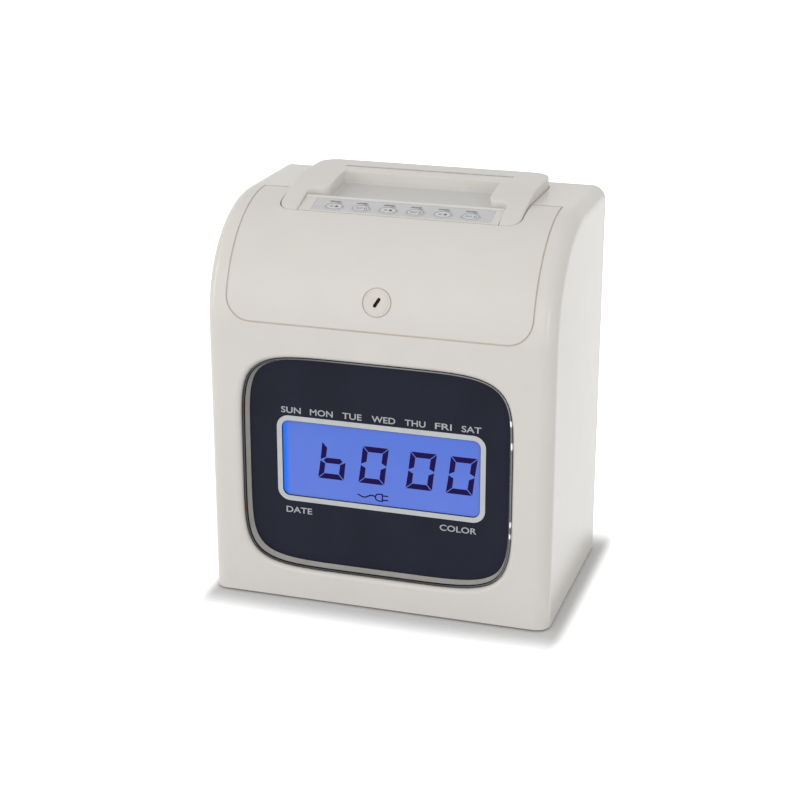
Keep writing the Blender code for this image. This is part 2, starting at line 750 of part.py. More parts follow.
def screw_boss(base, tip, rib_low, rib_high):
    """A round boss for a screw, with the rib that ties it to the case's side wall."""
    boss = rod(base, tip, SCREW_BOSS_RADIUS, PIN_SIDES)
    return fuse(boss, block(rib_low, rib_high))


def screw_x():
    return HALF_WIDTH - SCREW_INSET


def base_screw_places():
    return [(side * screw_x(), end * BASE_SCREW_HALF_SPAN) for side in (-1, 1) for end in (-1, 1)]


def rear_screw_places():
    heights = (REAR_SCREW_LOW, CASE_TOP - REAR_SCREW_TOP_DROP)
    return [(side * screw_x(), height) for side in (-1, 1) for height in heights]


def case_fittings():
    """Bosses, ledges, hinge lugs and the lock's catch, which stand on the inside of the case."""
    fittings = []
    low = BASE_TOP + FIT
    high = low + SCREW_BOSS_LENGTH
    for x, y in base_screw_places():
        out = math.copysign(HALF_WIDTH, x)
        rib = sorted((x, out))
        fittings.append(screw_boss(
            (x, y, low), (x, y, high),
            (rib[0], y - RIB_THICKNESS / 2, low), (rib[1], y + RIB_THICKNESS / 2, high)))
    for x, z in rear_screw_places():
        out = math.copysign(HALF_WIDTH, x)
        rib = sorted((x, out))
        fittings.append(screw_boss(
            (x, CASE_REAR - SCREW_BOSS_LENGTH, z), (x, CASE_REAR, z),
            (rib[0], CASE_REAR - SCREW_BOSS_LENGTH, z - RIB_THICKNESS / 2),
            (rib[1], CASE_REAR, z + RIB_THICKNESS / 2)))
    for side in (-1, 1):
        ledge = sorted((side * (SIDE_INNER - LEDGE_REACH), side * HALF_WIDTH))
        fittings.append(block(
            (ledge[0], CHASSIS_FRONT, CHASSIS_FLOOR - FIT - LEDGE_HEIGHT),
            (ledge[1], CHASSIS_REAR, CHASSIS_FLOOR - FIT)))
        lug = sorted((side * (COVER_HALF + HINGE_LUG_GAP), side * (COVER_HALF + HINGE_LUG_GAP + HINGE_LUG_WIDTH)))
        fittings.append(hinge_lug(lug[0], lug[1]))
    catch_top = COVER_BOTTOM - SEAM - CATCH_DROP
    fittings.append(block(
        (-CATCH_HALF_WIDTH, FRONT, catch_top - CATCH_THICKNESS),
        (CATCH_HALF_WIDTH, catch_rear(catch_top - CATCH_THICKNESS), catch_top)))
    return fittings


def cam_front():
    """Depth of the lock cam's front face behind the curved surface."""
    return LOCK_SINK + LOCK_FACE_THICKNESS + LOCK_BARREL_LENGTH + FIT


def catch_rear(height):
    """How far back the catch may reach at that height and stay clear of the turned cam."""
    centre = LOCK_FRAME @ Vector((0, 0, -cam_front()))
    down = (centre.z - height) / math.cos(LOCK_ANGLE)
    return centre.y - down * math.sin(LOCK_ANGLE) - CATCH_CLEARANCE


def hinge_lug(low_x, high_x):
    """A lug under the top, with a round end about the hinge axis."""
    outline = arc_points((HINGE_Y, HINGE_Z), HINGE_BOSS_RADIUS, 180, 360, 8)
    outline += [(HINGE_Y + HINGE_BOSS_RADIUS, CASE_TOP), (HINGE_Y - HINGE_BOSS_RADIUS, CASE_TOP)]
    return prism(outline, "X", low_x, high_x)


def hinge_bore():
    reach = COVER_HALF + HINGE_LUG_GAP + HINGE_LUG_WIDTH + OVERRUN
    return rod((-reach, HINGE_Y, HINGE_Z), (reach, HINGE_Y, HINGE_Z), HINGE_PIN_RADIUS + FIT, PIN_SIDES)


def main_case():
    """Front, sides and top in one shell, open at the back and below."""
    shell = case_solid(0, FOOT_PROUD, CASE_REAR)
    cut(shell, case_solid(WALL, FOOT_PROUD - OVERRUN, CASE_REAR + OVERRUN))
    cut(shell, cover_region(SEAM))
    cut(shell, prism(guide_plan(SEAM), "Z", GUIDE_UNDER, SKY))
    skin = case_solid(WALL / 2, FOOT_PROUD, CASE_REAR)
    for fitting in case_fittings():
        fuse(shell, trim(fitting, skin))
    cut(shell, window_cutter(), hinge_bore())
    for x, y in base_screw_places():
        low = BASE_TOP + FIT - OVERRUN
        cut(shell, rod((x, y, low), (x, y, low + OVERRUN + SCREW_BOSS_LENGTH / 2 + SCREW_LENGTH / 2),
                       SCREW_RADIUS + FIT, PIN_SIDES))
    for x, z in rear_screw_places():
        far = CASE_REAR + OVERRUN
        cut(shell, rod((x, far, z), (x, far - OVERRUN - SCREW_BOSS_LENGTH / 2 - SCREW_LENGTH / 2, z),
                       SCREW_RADIUS + FIT, PIN_SIDES))
    keep(shell, "main_case", "ivory_plastic")


def screw(name, seat, into):
    """A pan head screw whose head is flush at seat and whose shank runs along into."""
    seat, into = Vector(seat), Vector(into)
    head = rod(seat, seat + into * SCREW_HEAD_HEIGHT, SCREW_HEAD_RADIUS, PIN_SIDES)
    shank = rod(seat + into * SCREW_HEAD_HEIGHT / 2, seat + into * SCREW_LENGTH, SCREW_RADIUS, PIN_SIDES)
    keep(fuse(head, shank), name, "steel")


def screw_hole(seat, into, thickness):
    """The counterbore and the through hole of a screw, as one cutter."""
    seat, into = Vector(seat), Vector(into)
    head = rod(seat - into * OVERRUN, seat + into * (SCREW_HEAD_HEIGHT + FIT), SCREW_HEAD_RADIUS + FIT, PIN_SIDES)
    hole = rod(seat, seat + into * (thickness + OVERRUN), SCREW_RADIUS + FIT, PIN_SIDES)
    return fuse(head, hole)


def keyhole(x):
    """A wall keyhole: a round head below and a narrow slot above it."""
    z = CASE_TOP - KEYHOLE_DROP
    near, far = REAR_INNER - OVERRUN, BACK + OVERRUN
    head = rod((x, near, z), (x, far, z), KEYHOLE_HEAD_RADIUS, ROUND_SIDES)
    slot = rounded_box(
        (x - KEYHOLE_SLOT_RADIUS, z), (x + KEYHOLE_SLOT_RADIUS, z + KEYHOLE_RISE + KEYHOLE_SLOT_RADIUS),
        (0, 0, KEYHOLE_SLOT_RADIUS, KEYHOLE_SLOT_RADIUS))
    return fuse(head, prism(slot, "Y", near, far))


def rear_cover():
    """The plate that closes the back."""
    top, foot = EDGE_RADIUS, REAR_EDGE_RADIUS
    outline = rounded_box((-HALF_WIDTH, FOOT_PROUD), (HALF_WIDTH, CASE_TOP), (foot, foot, top, top), EDGE_STEPS)
    plate = prism(outline, "Y", REAR_INNER, BACK)
    near = OVERRUN / 10
    bevel_where(plate, lambda a, b: abs(a.y - BACK) < near and abs(b.y - BACK) < near, REAR_EDGE_RADIUS, 2)
    cut(plate, keyhole(-KEYHOLE_HALF_SPAN), keyhole(KEYHOLE_HALF_SPAN))
    for row in range(VENT_COUNT):
        z = VENT_HEIGHT + row * VENT_PITCH
        half = VENT_WIDTH / 2
        vent = rounded_box((-VENT_LENGTH, z - half), (VENT_LENGTH, z + half), (half,) * 4, 2)
        cut(plate, prism(vent, "Y", REAR_INNER - OVERRUN, BACK + OVERRUN))
    cut(plate, rod((INLET_X, REAR_INNER - OVERRUN, INLET_HEIGHT), (INLET_X, BACK + OVERRUN, INLET_HEIGHT),
                   INLET_NOSE_RADIUS + FIT, ROUND_SIDES))
    for x, z in rear_screw_places():
        cut(plate, screw_hole((x, BACK, z), (0, -1, 0), REAR_THICKNESS))
    keep(plate, "rear_cover", "ivory_plastic")


def foot_places():
    x, y = HALF_WIDTH - FOOT_INSET_X, BACK - FOOT_INSET_Y
    return {"front_left": (-x, -y), "front_right": (x, -y), "rear_left": (-x, y), "rear_right": (x, y)}


def power_posts():
    x_reach, y_reach = POWER_BOARD_HALF_WIDTH - POWER_POST_INSET, POWER_BOARD_HALF_DEPTH - POWER_POST_INSET
    return [(POWER_BOARD_X + i * x_reach, POWER_BOARD_Y + j * y_reach) for i in (-1, 1) for j in (-1, 1)]


def base_plate():
    half = SIDE_INNER - FIT
    corner = EDGE_RADIUS - WALL
    outline = rounded_box((-half, FRONT + WALL + FIT), (half, CASE_REAR), (corner, corner, 0, 0))
    plate = prism(outline, "Z", FOOT_PROUD, BASE_TOP)
    pad_top = FOOT_PAD_HEIGHT + FIT
    for x, y in foot_places().values():
        cut(plate, rod((x, y, 0), (x, y, pad_top), FOOT_RADIUS + FIT, ROUND_SIDES))
        cut(plate, rod((x, y, 0), (x, y, BASE_TOP + OVERRUN), FOOT_STEM_RADIUS + FIT, PIN_SIDES))
    for x, y in base_screw_places():
        cut(plate, screw_hole((x, y, FOOT_PROUD), (0, 0, 1), BASE_THICKNESS))
    for x, y in power_posts():
        post_top = BASE_TOP + POWER_POST_HEIGHT
        fuse(plate, rod((x, y, BASE_TOP - EMBED), (x, y, post_top), POWER_POST_RADIUS, PIN_SIDES))
    keep(plate, "base_plate", "ivory_plastic")


def foot(name, x, y):
    """A push-in rubber foot: pad below, stem through the plate, barb above."""
    barb_low = BASE_TOP + FIT
    profile = [
        (0, barb_low + FOOT_BARB_HEIGHT), (FOOT_STEM_RADIUS, barb_low + FOOT_BARB_HEIGHT),
        (FOOT_BARB_RADIUS, barb_low), (FOOT_STEM_RADIUS, barb_low), (FOOT_STEM_RADIUS, FOOT_PAD_HEIGHT),
        (FOOT_RADIUS, FOOT_PAD_HEIGHT), (FOOT_RADIUS, FOOT_PROUD / 2), (FOOT_RADIUS - FOOT_PROUD / 2, 0), (0, 0)]
    keep(turned(profile, (x, y, 0)), name, "rubber")


def front_cover():
    """The curved cover over the printer; its origin is on the hinge axis."""
    cover = case_solid(0, FOOT_PROUD, CASE_REAR)
    trim(cover, cover_region(0))
    cut(cover, case_solid(WALL, FOOT_PROUD - OVERRUN, CASE_REAR + OVERRUN))
    cut(cover, prism(guide_plan(SEAM), "Z", ARC_Z, SKY))
    skin = case_solid(WALL / 2, FOOT_PROUD, CASE_REAR)
    for side in (-1, 1):
        lug = sorted((side * (COVER_HALF - HINGE_LUG_INSET), side * (COVER_HALF - HINGE_LUG_INSET - HINGE_LUG_WIDTH)))
        fuse(cover, trim(hinge_lug(lug[0], lug[1]), skin))
    barrel_end = LOCK_SINK + LOCK_FACE_THICKNESS + LOCK_BARREL_LENGTH - FIT * 4
    boss = rod((0, 0, 0), (0, 0, -barrel_end), LOCK_FACE_RADIUS + LOCK_BOSS_WALL, ROUND_SIDES, LOCK_FRAME)
    fuse(cover, trim(boss, skin))
    seat = LOCK_SINK + LOCK_FACE_THICKNESS + FIT
    cut(cover, rod((0, 0, OVERRUN), (0, 0, -seat), LOCK_FACE_RADIUS + SEAM, 24, LOCK_FRAME))
    cut(cover, rod((0, 0, OVERRUN), (0, 0, -barrel_end - OVERRUN), LOCK_BARREL_RADIUS + FIT, ROUND_SIDES, LOCK_FRAME))
    cut(cover, hinge_bore())
    keep(cover, "front_cover", "ivory_plastic", (0, HINGE_Y, HINGE_Z))


def hinge_pin(name, side):
    inner = COVER_HALF - HINGE_LUG_INSET - HINGE_LUG_WIDTH - HINGE_PIN_PROUD
    outer = COVER_HALF + HINGE_LUG_GAP + HINGE_LUG_WIDTH + HINGE_PIN_PROUD
    ends = [(side * reach, HINGE_Y, HINGE_Z) for reach in (inner, outer)]
    keep(rod(*ends, HINGE_PIN_RADIUS, PIN_SIDES), name, "steel")


def lock():
    """Cylinder with its key slit, the cam behind it and the cam's screw; all turn together."""
    face = -LOCK_SINK
    seat = face - LOCK_FACE_THICKNESS
    end = seat - LOCK_BARREL_LENGTH
    origin = LOCK_FRAME @ Vector((0, 0, face))
    cylinder = rod((0, 0, face), (0, 0, seat), LOCK_FACE_RADIUS, 24, LOCK_FRAME)
    barrel_start = seat + LOCK_FACE_THICKNESS / 2
    fuse(cylinder, rod((0, 0, barrel_start), (0, 0, end), LOCK_BARREL_RADIUS, ROUND_SIDES, LOCK_FRAME))
    slit = block(
        (-KEY_SLIT_WIDTH / 2, -KEY_SLIT_LENGTH / 2, face - KEY_SLIT_DEPTH),
        (KEY_SLIT_WIDTH / 2, KEY_SLIT_LENGTH / 2, OVERRUN),
        LOCK_FRAME @ Matrix.Rotation(math.radians(-KEY_SLIT_TILT_DEG), 4, "Z"))
    cut(cylinder, slit)
    screw_end = end + MOTOR_SHAFT_DEPTH
    cut(cylinder, rod((0, 0, end - OVERRUN), (0, 0, screw_end), SCREW_RADIUS + FIT, PIN_SIDES, LOCK_FRAME))
    keep(cylinder, "lock_cylinder", "ivory_plastic", origin)

    front = end - FIT
    rear = front - CAM_THICKNESS
    plate = rounded_box((-CAM_HALF_WIDTH, -CAM_HALF_WIDTH), (CAM_LENGTH, CAM_HALF_WIDTH), (CAM_HALF_WIDTH / 2,) * 4, 2)
    cam = prism(plate, "Z", rear, front, LOCK_FRAME)
    cut(cam, rod((0, 0, rear - OVERRUN), (0, 0, front + OVERRUN), SCREW_RADIUS + FIT, PIN_SIDES, LOCK_FRAME))
    keep(cam, "lock_cam", "steel", origin)

    under_head = rear - FIT
    bolt = rod((0, 0, under_head), (0, 0, under_head - SCREW_HEAD_HEIGHT), SCREW_HEAD_RADIUS, PIN_SIDES, LOCK_FRAME)
    shank_start = under_head - SCREW_HEAD_HEIGHT / 2
    shank = rod((0, 0, shank_start), (0, 0, screw_end - FIT), SCREW_RADIUS, PIN_SIDES, LOCK_FRAME)
    keep(fuse(bolt, shank), "lock_screw", "steel", origin)


def crown_radius():
    """Radius of the guide's sloping top: level at the scoop's wall, down to the arc at its front end."""
    run = SCOOP_BACK - GUIDE_FRONT
    angle = math.radians(GUIDE_FRONT_DEG)
    front_height = ARC_Z + ARC_RADIUS * math.sin(angle) + GUIDE_FRONT_PROUD
    drop = GUIDE_TOP - front_height
    return (run ** 2 + drop ** 2) / (2 * drop)


def guide_profile():
    """Side view of the card guide."""
    radius = crown_radius()
    sweep = math.degrees(math.asin((SCOOP_BACK - GUIDE_FRONT) / radius))
    over = math.degrees(math.asin(OVERRUN / radius))
    outline = [(GUIDE_BACK + OVERRUN, GUIDE_UNDER), (GUIDE_BACK + OVERRUN, GUIDE_TOP)]
    outline += arc_points((SCOOP_BACK, GUIDE_TOP - radius), radius, 90, 90 + sweep + over, 10)
    under = ARC_RADIUS - GUIDE_DEPTH
    lean = math.degrees(math.acos((ARC_Y - GUIDE_FRONT + OVERRUN) / under))
    outline += arc_points((ARC_Y, ARC_Z), under, 180 - lean, 90, 6)
    return outline


def pocket_plan():
    """Top view of the hollow between the guide's arms: a wide bay in front, a narrower scoop behind."""
    bay_rear = ARC_Y - BAY_REAR_BACK
    half = []
    half += [(BAY_HALF_WIDTH, GUIDE_FRONT - OVERRUN * 2)]
    half += arc_points((BAY_HALF_WIDTH - BAY_CORNER, bay_rear - BAY_CORNER), BAY_CORNER, 0, 90, CORNER_STEPS)
    half += arc_points((SCOOP_HALF_WIDTH + BAY_CORNER, bay_rear + BAY_CORNER), BAY_CORNER, 270, 180, CORNER_STEPS)
    half += arc_points((SCOOP_HALF_WIDTH - SCOOP_CORNER, SCOOP_BACK - SCOOP_CORNER), SCOOP_CORNER, 0, 90, CORNER_STEPS)
    return half + [(-x, y) for x, y in reversed(half)]


def pocket_side():
    """Side view of the same hollow: the bay follows the arc, the scoop's floor runs on to the slot's wall."""
    floor = ARC_RADIUS - BAY_DEPTH
    lean = math.degrees(math.acos((ARC_Y - GUIDE_FRONT + OVERRUN * 2) / floor))
    rise = math.degrees(math.acos(BAY_REAR_BACK / floor))
    outline = arc_points((ARC_Y, ARC_Z), floor, 180 - lean, 180 - rise, 6)
    start = outline[-1]
    end = (SCOOP_BACK + OVERRUN, CASE_TOP - SCOOP_DROP)
    for share in (0.25, 0.5, 0.75, 1.0):
        y = start[0] + (end[0] - start[0]) * share
        z = start[1] + (end[1] - start[1]) * share - SCOOP_SAG * math.sin(math.pi * share)
        outline.append((y, z))
    outline += [(end[0], SKY + OVERRUN), (GUIDE_FRONT - OVERRUN * 2, SKY + OVERRUN)]
    return outline


def bed_front():
    return PANEL_HALF_HEIGHT + BED_RIM


def key_bed():
    """The raised bed of the key panel, with its rim at both ends and its lip at the rear."""
    half = PANEL_HALF_WIDTH + BED_RIM
    bed = block(
        (-half, -bed_front() - OVERRUN, -BED_THICKNESS), (half, PANEL_HALF_HEIGHT + BED_LIP, BED_RIM_PROUD), PANEL_FRAME)
    lip = block(
        (-half, PANEL_HALF_HEIGHT + FIT, -BED_THICKNESS / 2), (half, PANEL_HALF_HEIGHT + BED_LIP, BED_LIP_PROUD),
        PANEL_FRAME)
    fuse(bed, lip)
    recess = block(
        (-PANEL_HALF_WIDTH - FIT, -bed_front() - OVERRUN * 2, -KEY_PANEL_THICKNESS - FIT),
        (PANEL_HALF_WIDTH + FIT, PANEL_HALF_HEIGHT + FIT, OVERRUN * 2), PANEL_FRAME)
    return cut(bed, recess)


def key_x(index):
    return (index - (KEY_COUNT - 1) / 2) * KEY_PITCH


def key_hole(index, near, far):
    outline = oval((key_x(index), KEY_ROW), KEY_HALF_LENGTH + FIT, KEY_HALF_HEIGHT + FIT, ROUND_SIDES)
    return prism(outline, "Z", near, far, PANEL_FRAME)


def light_hole(index, near, far):
    x = key_x(index)
    half, tall = LIGHT_HALF_LENGTH + FIT, LIGHT_HALF_HEIGHT + FIT
    return block((x - half, LIGHT_ROW - tall, near), (x + half, LIGHT_ROW + tall, far), PANEL_FRAME)


def card_slot_cutter():
    half = SLOT_WIDTH / 2
    outline = rounded_box((-SLOT_HALF_LENGTH, CARD_Y - half), (SLOT_HALF_LENGTH, CARD_Y + half), (half,) * 4, 3)
    return prism(outline, "Z", GUIDE_UNDER - OVERRUN, SKY)


def card_guide():
    """The raised frame on top, with the card slot, the finger scoop and the bed of the keys."""
    guide = prism(guide_profile(), "X", -GUIDE_HALF_WIDTH - OVERRUN, GUIDE_HALF_WIDTH + OVERRUN)
    pocket = prism(pocket_plan(), "Z", ARC_Z, SKY)
    trim(pocket, prism(pocket_side(), "X", -GUIDE_HALF_WIDTH, GUIDE_HALF_WIDTH))
    cut(guide, pocket)
    fuse(guide, key_bed())
    trim(guide, prism(guide_plan(0), "Z", ARC_Z, SKY))
    half = GUIDE_HALF_WIDTH + GUIDE_FLANGE
    flange_top = CASE_TOP - WALL - FIT
    fuse(guide, block(
        (-half, ARC_Y + GUIDE_FLANGE_SETBACK, flange_top - GUIDE_FLANGE_THICKNESS),
        (half, CASE_REAR - FIT, flange_top)))
    pocket_half = PANEL_HALF_WIDTH + BAY_POCKET_MARGIN
    cut(guide, block(
        (-pocket_half, -PANEL_HALF_HEIGHT - FIT, -BED_THICKNESS - ARC_RADIUS / 2),
        (pocket_half, PANEL_HALF_HEIGHT + KEY_BOARD_MARGIN + FIT, -BED_THICKNESS), PANEL_FRAME))
    for index in range(KEY_COUNT):
        cut(guide, key_hole(index, -BED_THICKNESS - OVERRUN, OVERRUN))
        cut(guide, light_hole(index, -BED_THICKNESS - OVERRUN, OVERRUN))
    cut(guide, card_slot_cutter())
    keep(guide, "card_guide", "ivory_plastic")


def key_panel():
    """The thin grey panel round the keys."""
    panel = block(
        (-PANEL_HALF_WIDTH, -PANEL_HALF_HEIGHT, -KEY_PANEL_THICKNESS), (PANEL_HALF_WIDTH, PANEL_HALF_HEIGHT, 0),
        PANEL_FRAME)
    for index in range(KEY_COUNT):
        cut(panel, key_hole(index, -KEY_PANEL_THICKNESS - OVERRUN, OVERRUN))
        cut(panel, light_hole(index, -KEY_PANEL_THICKNESS - OVERRUN, OVERRUN))
    keep(panel, "key_panel", "grey_panel")


def key(index):
    """One oval key with the flange that keeps it under the bed."""
    x = key_x(index)
    flange_top = -BED_THICKNESS - FIT
    cap = prism(oval((x, KEY_ROW), KEY_HALF_LENGTH, KEY_HALF_HEIGHT, ROUND_SIDES), "Z",
                flange_top - KEY_FLANGE_THICKNESS / 2, KEY_PROUD, PANEL_FRAME)
    low = -min(KEY_HALF_HEIGHT + KEY_FLANGE, PANEL_HALF_HEIGHT + KEY_ROW)
    high = min(KEY_HALF_HEIGHT + KEY_FLANGE, LIGHT_ROW - LIGHT_BAR_HALF_HEIGHT - FIT - KEY_ROW)
    half = KEY_HALF_LENGTH + KEY_FLANGE
    flange = block(
        (x - half, KEY_ROW + low, flange_top - KEY_FLANGE_THICKNESS), (x + half, KEY_ROW + high, flange_top),
        PANEL_FRAME)
    origin = PANEL_FRAME @ Vector((x, KEY_ROW, KEY_PROUD))
    keep(fuse(cap, flange), f"key_{index + 1}", "key_grey", origin)


def switch_top():
    return -BED_THICKNESS - FIT - KEY_FLANGE_THICKNESS - KEY_TRAVEL - FIT


def key_board():
    """The switch board under the keys, one switch below each."""
    top = switch_top() - SWITCH_HEIGHT
    half = PANEL_HALF_WIDTH + BAY_POCKET_MARGIN - FIT
    board = block(
        (-half, -PANEL_HALF_HEIGHT, top - KEY_BOARD_THICKNESS), (half, PANEL_HALF_HEIGHT + KEY_BOARD_MARGIN, top),
        PANEL_FRAME)
    for index in range(KEY_COUNT):
        x = key_x(index)
        fuse(board, rod((x, KEY_ROW, top - EMBED), (x, KEY_ROW, switch_top()), SWITCH_RADIUS, PIN_SIDES, PANEL_FRAME))
    keep(board, "key_board", "circuit_board")


def light_guide():
    """One clear bar with a prong under each of the six small windows."""
    reach = key_x(KEY_COUNT - 1) + LIGHT_HALF_LENGTH
    bar_top = -BED_THICKNESS - FIT
    bar = block(
        (-reach, LIGHT_ROW - LIGHT_BAR_HALF_HEIGHT, bar_top - LIGHT_BAR_THICKNESS),
        (reach, LIGHT_ROW + LIGHT_BAR_HALF_HEIGHT, bar_top), PANEL_FRAME)
    for index in range(KEY_COUNT):
        x = key_x(index)
        fuse(bar, block(
            (x - LIGHT_HALF_LENGTH, LIGHT_ROW - LIGHT_HALF_HEIGHT, bar_top - LIGHT_BAR_THICKNESS / 2),
            (x + LIGHT_HALF_LENGTH, LIGHT_ROW + LIGHT_HALF_HEIGHT, 0), PANEL_FRAME))
    keep(bar, "light_guide", "clear_light")


def bezel_back():
    """Depth of the bezel's rear face behind the case's front."""
    return WALL + FIT + BEZEL_FLANGE_DEPTH


def window_bezel():
    """The chrome ring: a rounded rim, an inner wall that leans in, and a flange behind the case's wall."""
    rim_back = BEZEL_SINK + BEZEL_RIM_DROP
    section = [
        (-FIT, rim_back), (-FIT - BEZEL_RIM_WIDTH * 0.3, BEZEL_SINK), (-FIT - BEZEL_RIM_WIDTH * 0.7, BEZEL_SINK),
        (-FIT - BEZEL_RIM_WIDTH, rim_back), (-FIT - BEZEL_RIM_WIDTH - BEZEL_LEAN, bezel_back()),
        (BEZEL_FLANGE_REACH, bezel_back()), (BEZEL_FLANGE_REACH, WALL + FIT), (-FIT, WALL + FIT)]
    keep(window_loft(section, ring=True), "window_bezel", "chrome")


def stack_y(depth):
    """Where a layer of the display starts: depth behind the bezel."""
    return FRONT + bezel_back() + FIT + depth


def lcd_centre():
    return WINDOW_CENTRE + LCD_RISE


def display_panel():
    """The dark panel that fills the window, with the opening of the display."""
    near = stack_y(0)
    panel = window_loft(
        [(BEZEL_FLANGE_REACH, near - FRONT), (BEZEL_FLANGE_REACH, near - FRONT + DISPLAY_PANEL_THICKNESS)], ring=False)
    middle = lcd_centre()
    opening = rounded_box(
        (-LCD_HALF_WIDTH, middle - LCD_HALF_HEIGHT), (LCD_HALF_WIDTH, middle + LCD_HALF_HEIGHT), (LCD_CORNER,) * 4)
    cut(panel, prism(opening, "Y", near - OVERRUN, near + DISPLAY_PANEL_THICKNESS + OVERRUN))
    keep(panel, "display_panel", "dark_panel")


def layer(depth, thickness, border):
    """A flat layer behind the display opening."""
    near = stack_y(depth)
    half, tall, middle = LCD_HALF_WIDTH + border, LCD_HALF_HEIGHT + border, lcd_centre()
    return block((-half, near, middle - tall), (half, near + thickness, middle + tall))


def display_stack():
    """Glass, back light, main board and buzzer, one behind the other."""
    depth = DISPLAY_PANEL_THICKNESS + FIT
    keep(layer(depth, LCD_THICKNESS, LCD_BORDER), "lcd_glass", "display_blue")
    depth += LCD_THICKNESS + FIT
    keep(layer(depth, BACKLIGHT_THICKNESS, LCD_BORDER), "lcd_backlight", "white_plastic")
    depth += BACKLIGHT_THICKNESS + FIT
    near = stack_y(depth)
    rear = near + BOARD_THICKNESS
    half, tall = MAIN_BOARD_HALF_WIDTH, MAIN_BOARD_HALF_HEIGHT
    board = block((-half, near, WINDOW_CENTRE - tall), (half, rear, WINDOW_CENTRE + tall))
    inside = rear - BOARD_THICKNESS / 2
    low, high = WINDOW_CENTRE - tall / 2, WINDOW_CENTRE + tall / 2
    fuse(board, block((-CHIP_HALF, inside, high - CHIP_HALF), (CHIP_HALF, rear + CHIP_HEIGHT, high + CHIP_HALF)))
    fuse(board, block(
        (-half / 2 - CHIP_HALF, inside, high - CHIP_HALF), (-half / 2 + CHIP_HALF, rear + CHIP_HEIGHT, high + CHIP_HALF)))
    fuse(board, block(
        (-CONNECTOR_HALF_LENGTH, inside, low - CONNECTOR_HALF_HEIGHT),
        (CONNECTOR_HALF_LENGTH, rear + CONNECTOR_HEIGHT, low + CONNECTOR_HALF_HEIGHT)))
    for x in (-half / 2, -half / 2 - CAPACITOR_RADIUS * 3):
        fuse(board, rod((x, inside, low), (x, rear + CAPACITOR_HEIGHT, low), CAPACITOR_RADIUS, PIN_SIDES))
    keep(board, "main_board", "circuit_board")
    x = half / 2
    keep(rod((x, rear + FIT, low), (x, rear + FIT + BUZZER_HEIGHT, low), BUZZER_RADIUS, ROUND_SIDES),
         "buzzer", "black_plastic")


def chassis():
    """The sheet metal floor and two side plates that carry the printer."""
    half = SIDE_INNER - FIT
    deck = block((-half, CHASSIS_FRONT, CHASSIS_FLOOR), (half, CHASSIS_REAR, CHASSIS_DECK))
    tab_top = PRINT_Z - CASSETTE_HALF_HEIGHT - FIT
    for side in (-1, 1):
        plate = sorted((side * CHASSIS_SIDE_INNER, side * CHASSIS_SIDE))
        fuse(deck, block((plate[0], CHASSIS_FRONT, CHASSIS_FLOOR), (plate[1], CHASSIS_REAR, CHASSIS_HEAD)))
        tab = sorted((side * (CHASSIS_SIDE_INNER - TAB_REACH), side * (CHASSIS_SIDE_INNER + SHEET / 2)))
        fuse(deck, block((tab[0], CHASSIS_FRONT, tab_top - SHEET), (tab[1], TAB_REAR, tab_top)))
    fuse(deck, rod((PULLEY_X, PULLEY_Y, CHASSIS_FLOOR), (PULLEY_X, PULLEY_Y, PULLEY_LOW + PULLEY_HEIGHT),
                   MOTOR_SHAFT_RADIUS, PIN_SIDES))
    cut(deck, block(
        (-CHUTE_HALF - FIT, CHANNEL_FRONT - CHUTE_SHEET - FIT, CHASSIS_FLOOR - OVERRUN),
        (CHUTE_HALF + FIT, CHANNEL_BACK + CHUTE_SHEET + FIT, CHASSIS_DECK + OVERRUN)))
    for x, radius in ((-LIFTER_X, GUIDE_ROD_RADIUS), (LIFTER_X, LIFT_SCREW_RADIUS)):
        cut(deck, rod((x, LIFTER_Y, CHASSIS_FLOOR - OVERRUN), (x, LIFTER_Y, CHASSIS_DECK + OVERRUN),
                      radius + FIT, PIN_SIDES))
    for y in (SHAFT_FRONT_Y, SHAFT_REAR_Y):
        cut(deck, rod((-HALF_WIDTH, y, SHAFT_Z), (HALF_WIDTH, y, SHAFT_Z), SHAFT_RADIUS + FIT, PIN_SIDES))
    keep(deck, "chassis", "zinc_sheet")


def chute():
    """Two sheets with the card's channel between them; the rear one has side ribs."""
    front = block(
        (-CHUTE_HALF, CHANNEL_FRONT - CHUTE_SHEET, CHUTE_LOW), (CHUTE_HALF, CHANNEL_FRONT, CHUTE_TOP))
    window = block(
        (-PRINT_WINDOW_HALF_WIDTH, CHANNEL_FRONT - CHUTE_SHEET - OVERRUN, PRINT_Z - PRINT_WINDOW_HALF_HEIGHT),
        (PRINT_WINDOW_HALF_WIDTH, CHANNEL_BACK + CHUTE_SHEET + OVERRUN, PRINT_Z + PRINT_WINDOW_HALF_HEIGHT))
    cut(front, window)
    keep(front, "chute_front", "zinc_sheet")
    rear = block(
        (-CHUTE_HALF, CHANNEL_BACK, CHUTE_LOW), (CHUTE_HALF, CHANNEL_BACK + CHUTE_SHEET, CHUTE_TOP))
    for side in (-1, 1):
        rib = sorted((side * CHANNEL_HALF, side * CHUTE_HALF))
        fuse(rear, block(
            (rib[0], CHANNEL_FRONT + FIT, CHUTE_LOW), (rib[1], CHANNEL_BACK + CHUTE_SHEET / 2, CHUTE_TOP)))
    cut(rear, window)
    for side in (-1, 1):
        x = side * TONGUE_X
        cut(rear, block(
            (x - TONGUE_SLOT_HALF_WIDTH, CHANNEL_FRONT, LIFTER_LOW),
            (x + TONGUE_SLOT_HALF_WIDTH, CHANNEL_BACK + CHUTE_SHEET + OVERRUN, CHASSIS_FLOOR)))
    keep(rear, "chute_rear", "zinc_sheet")


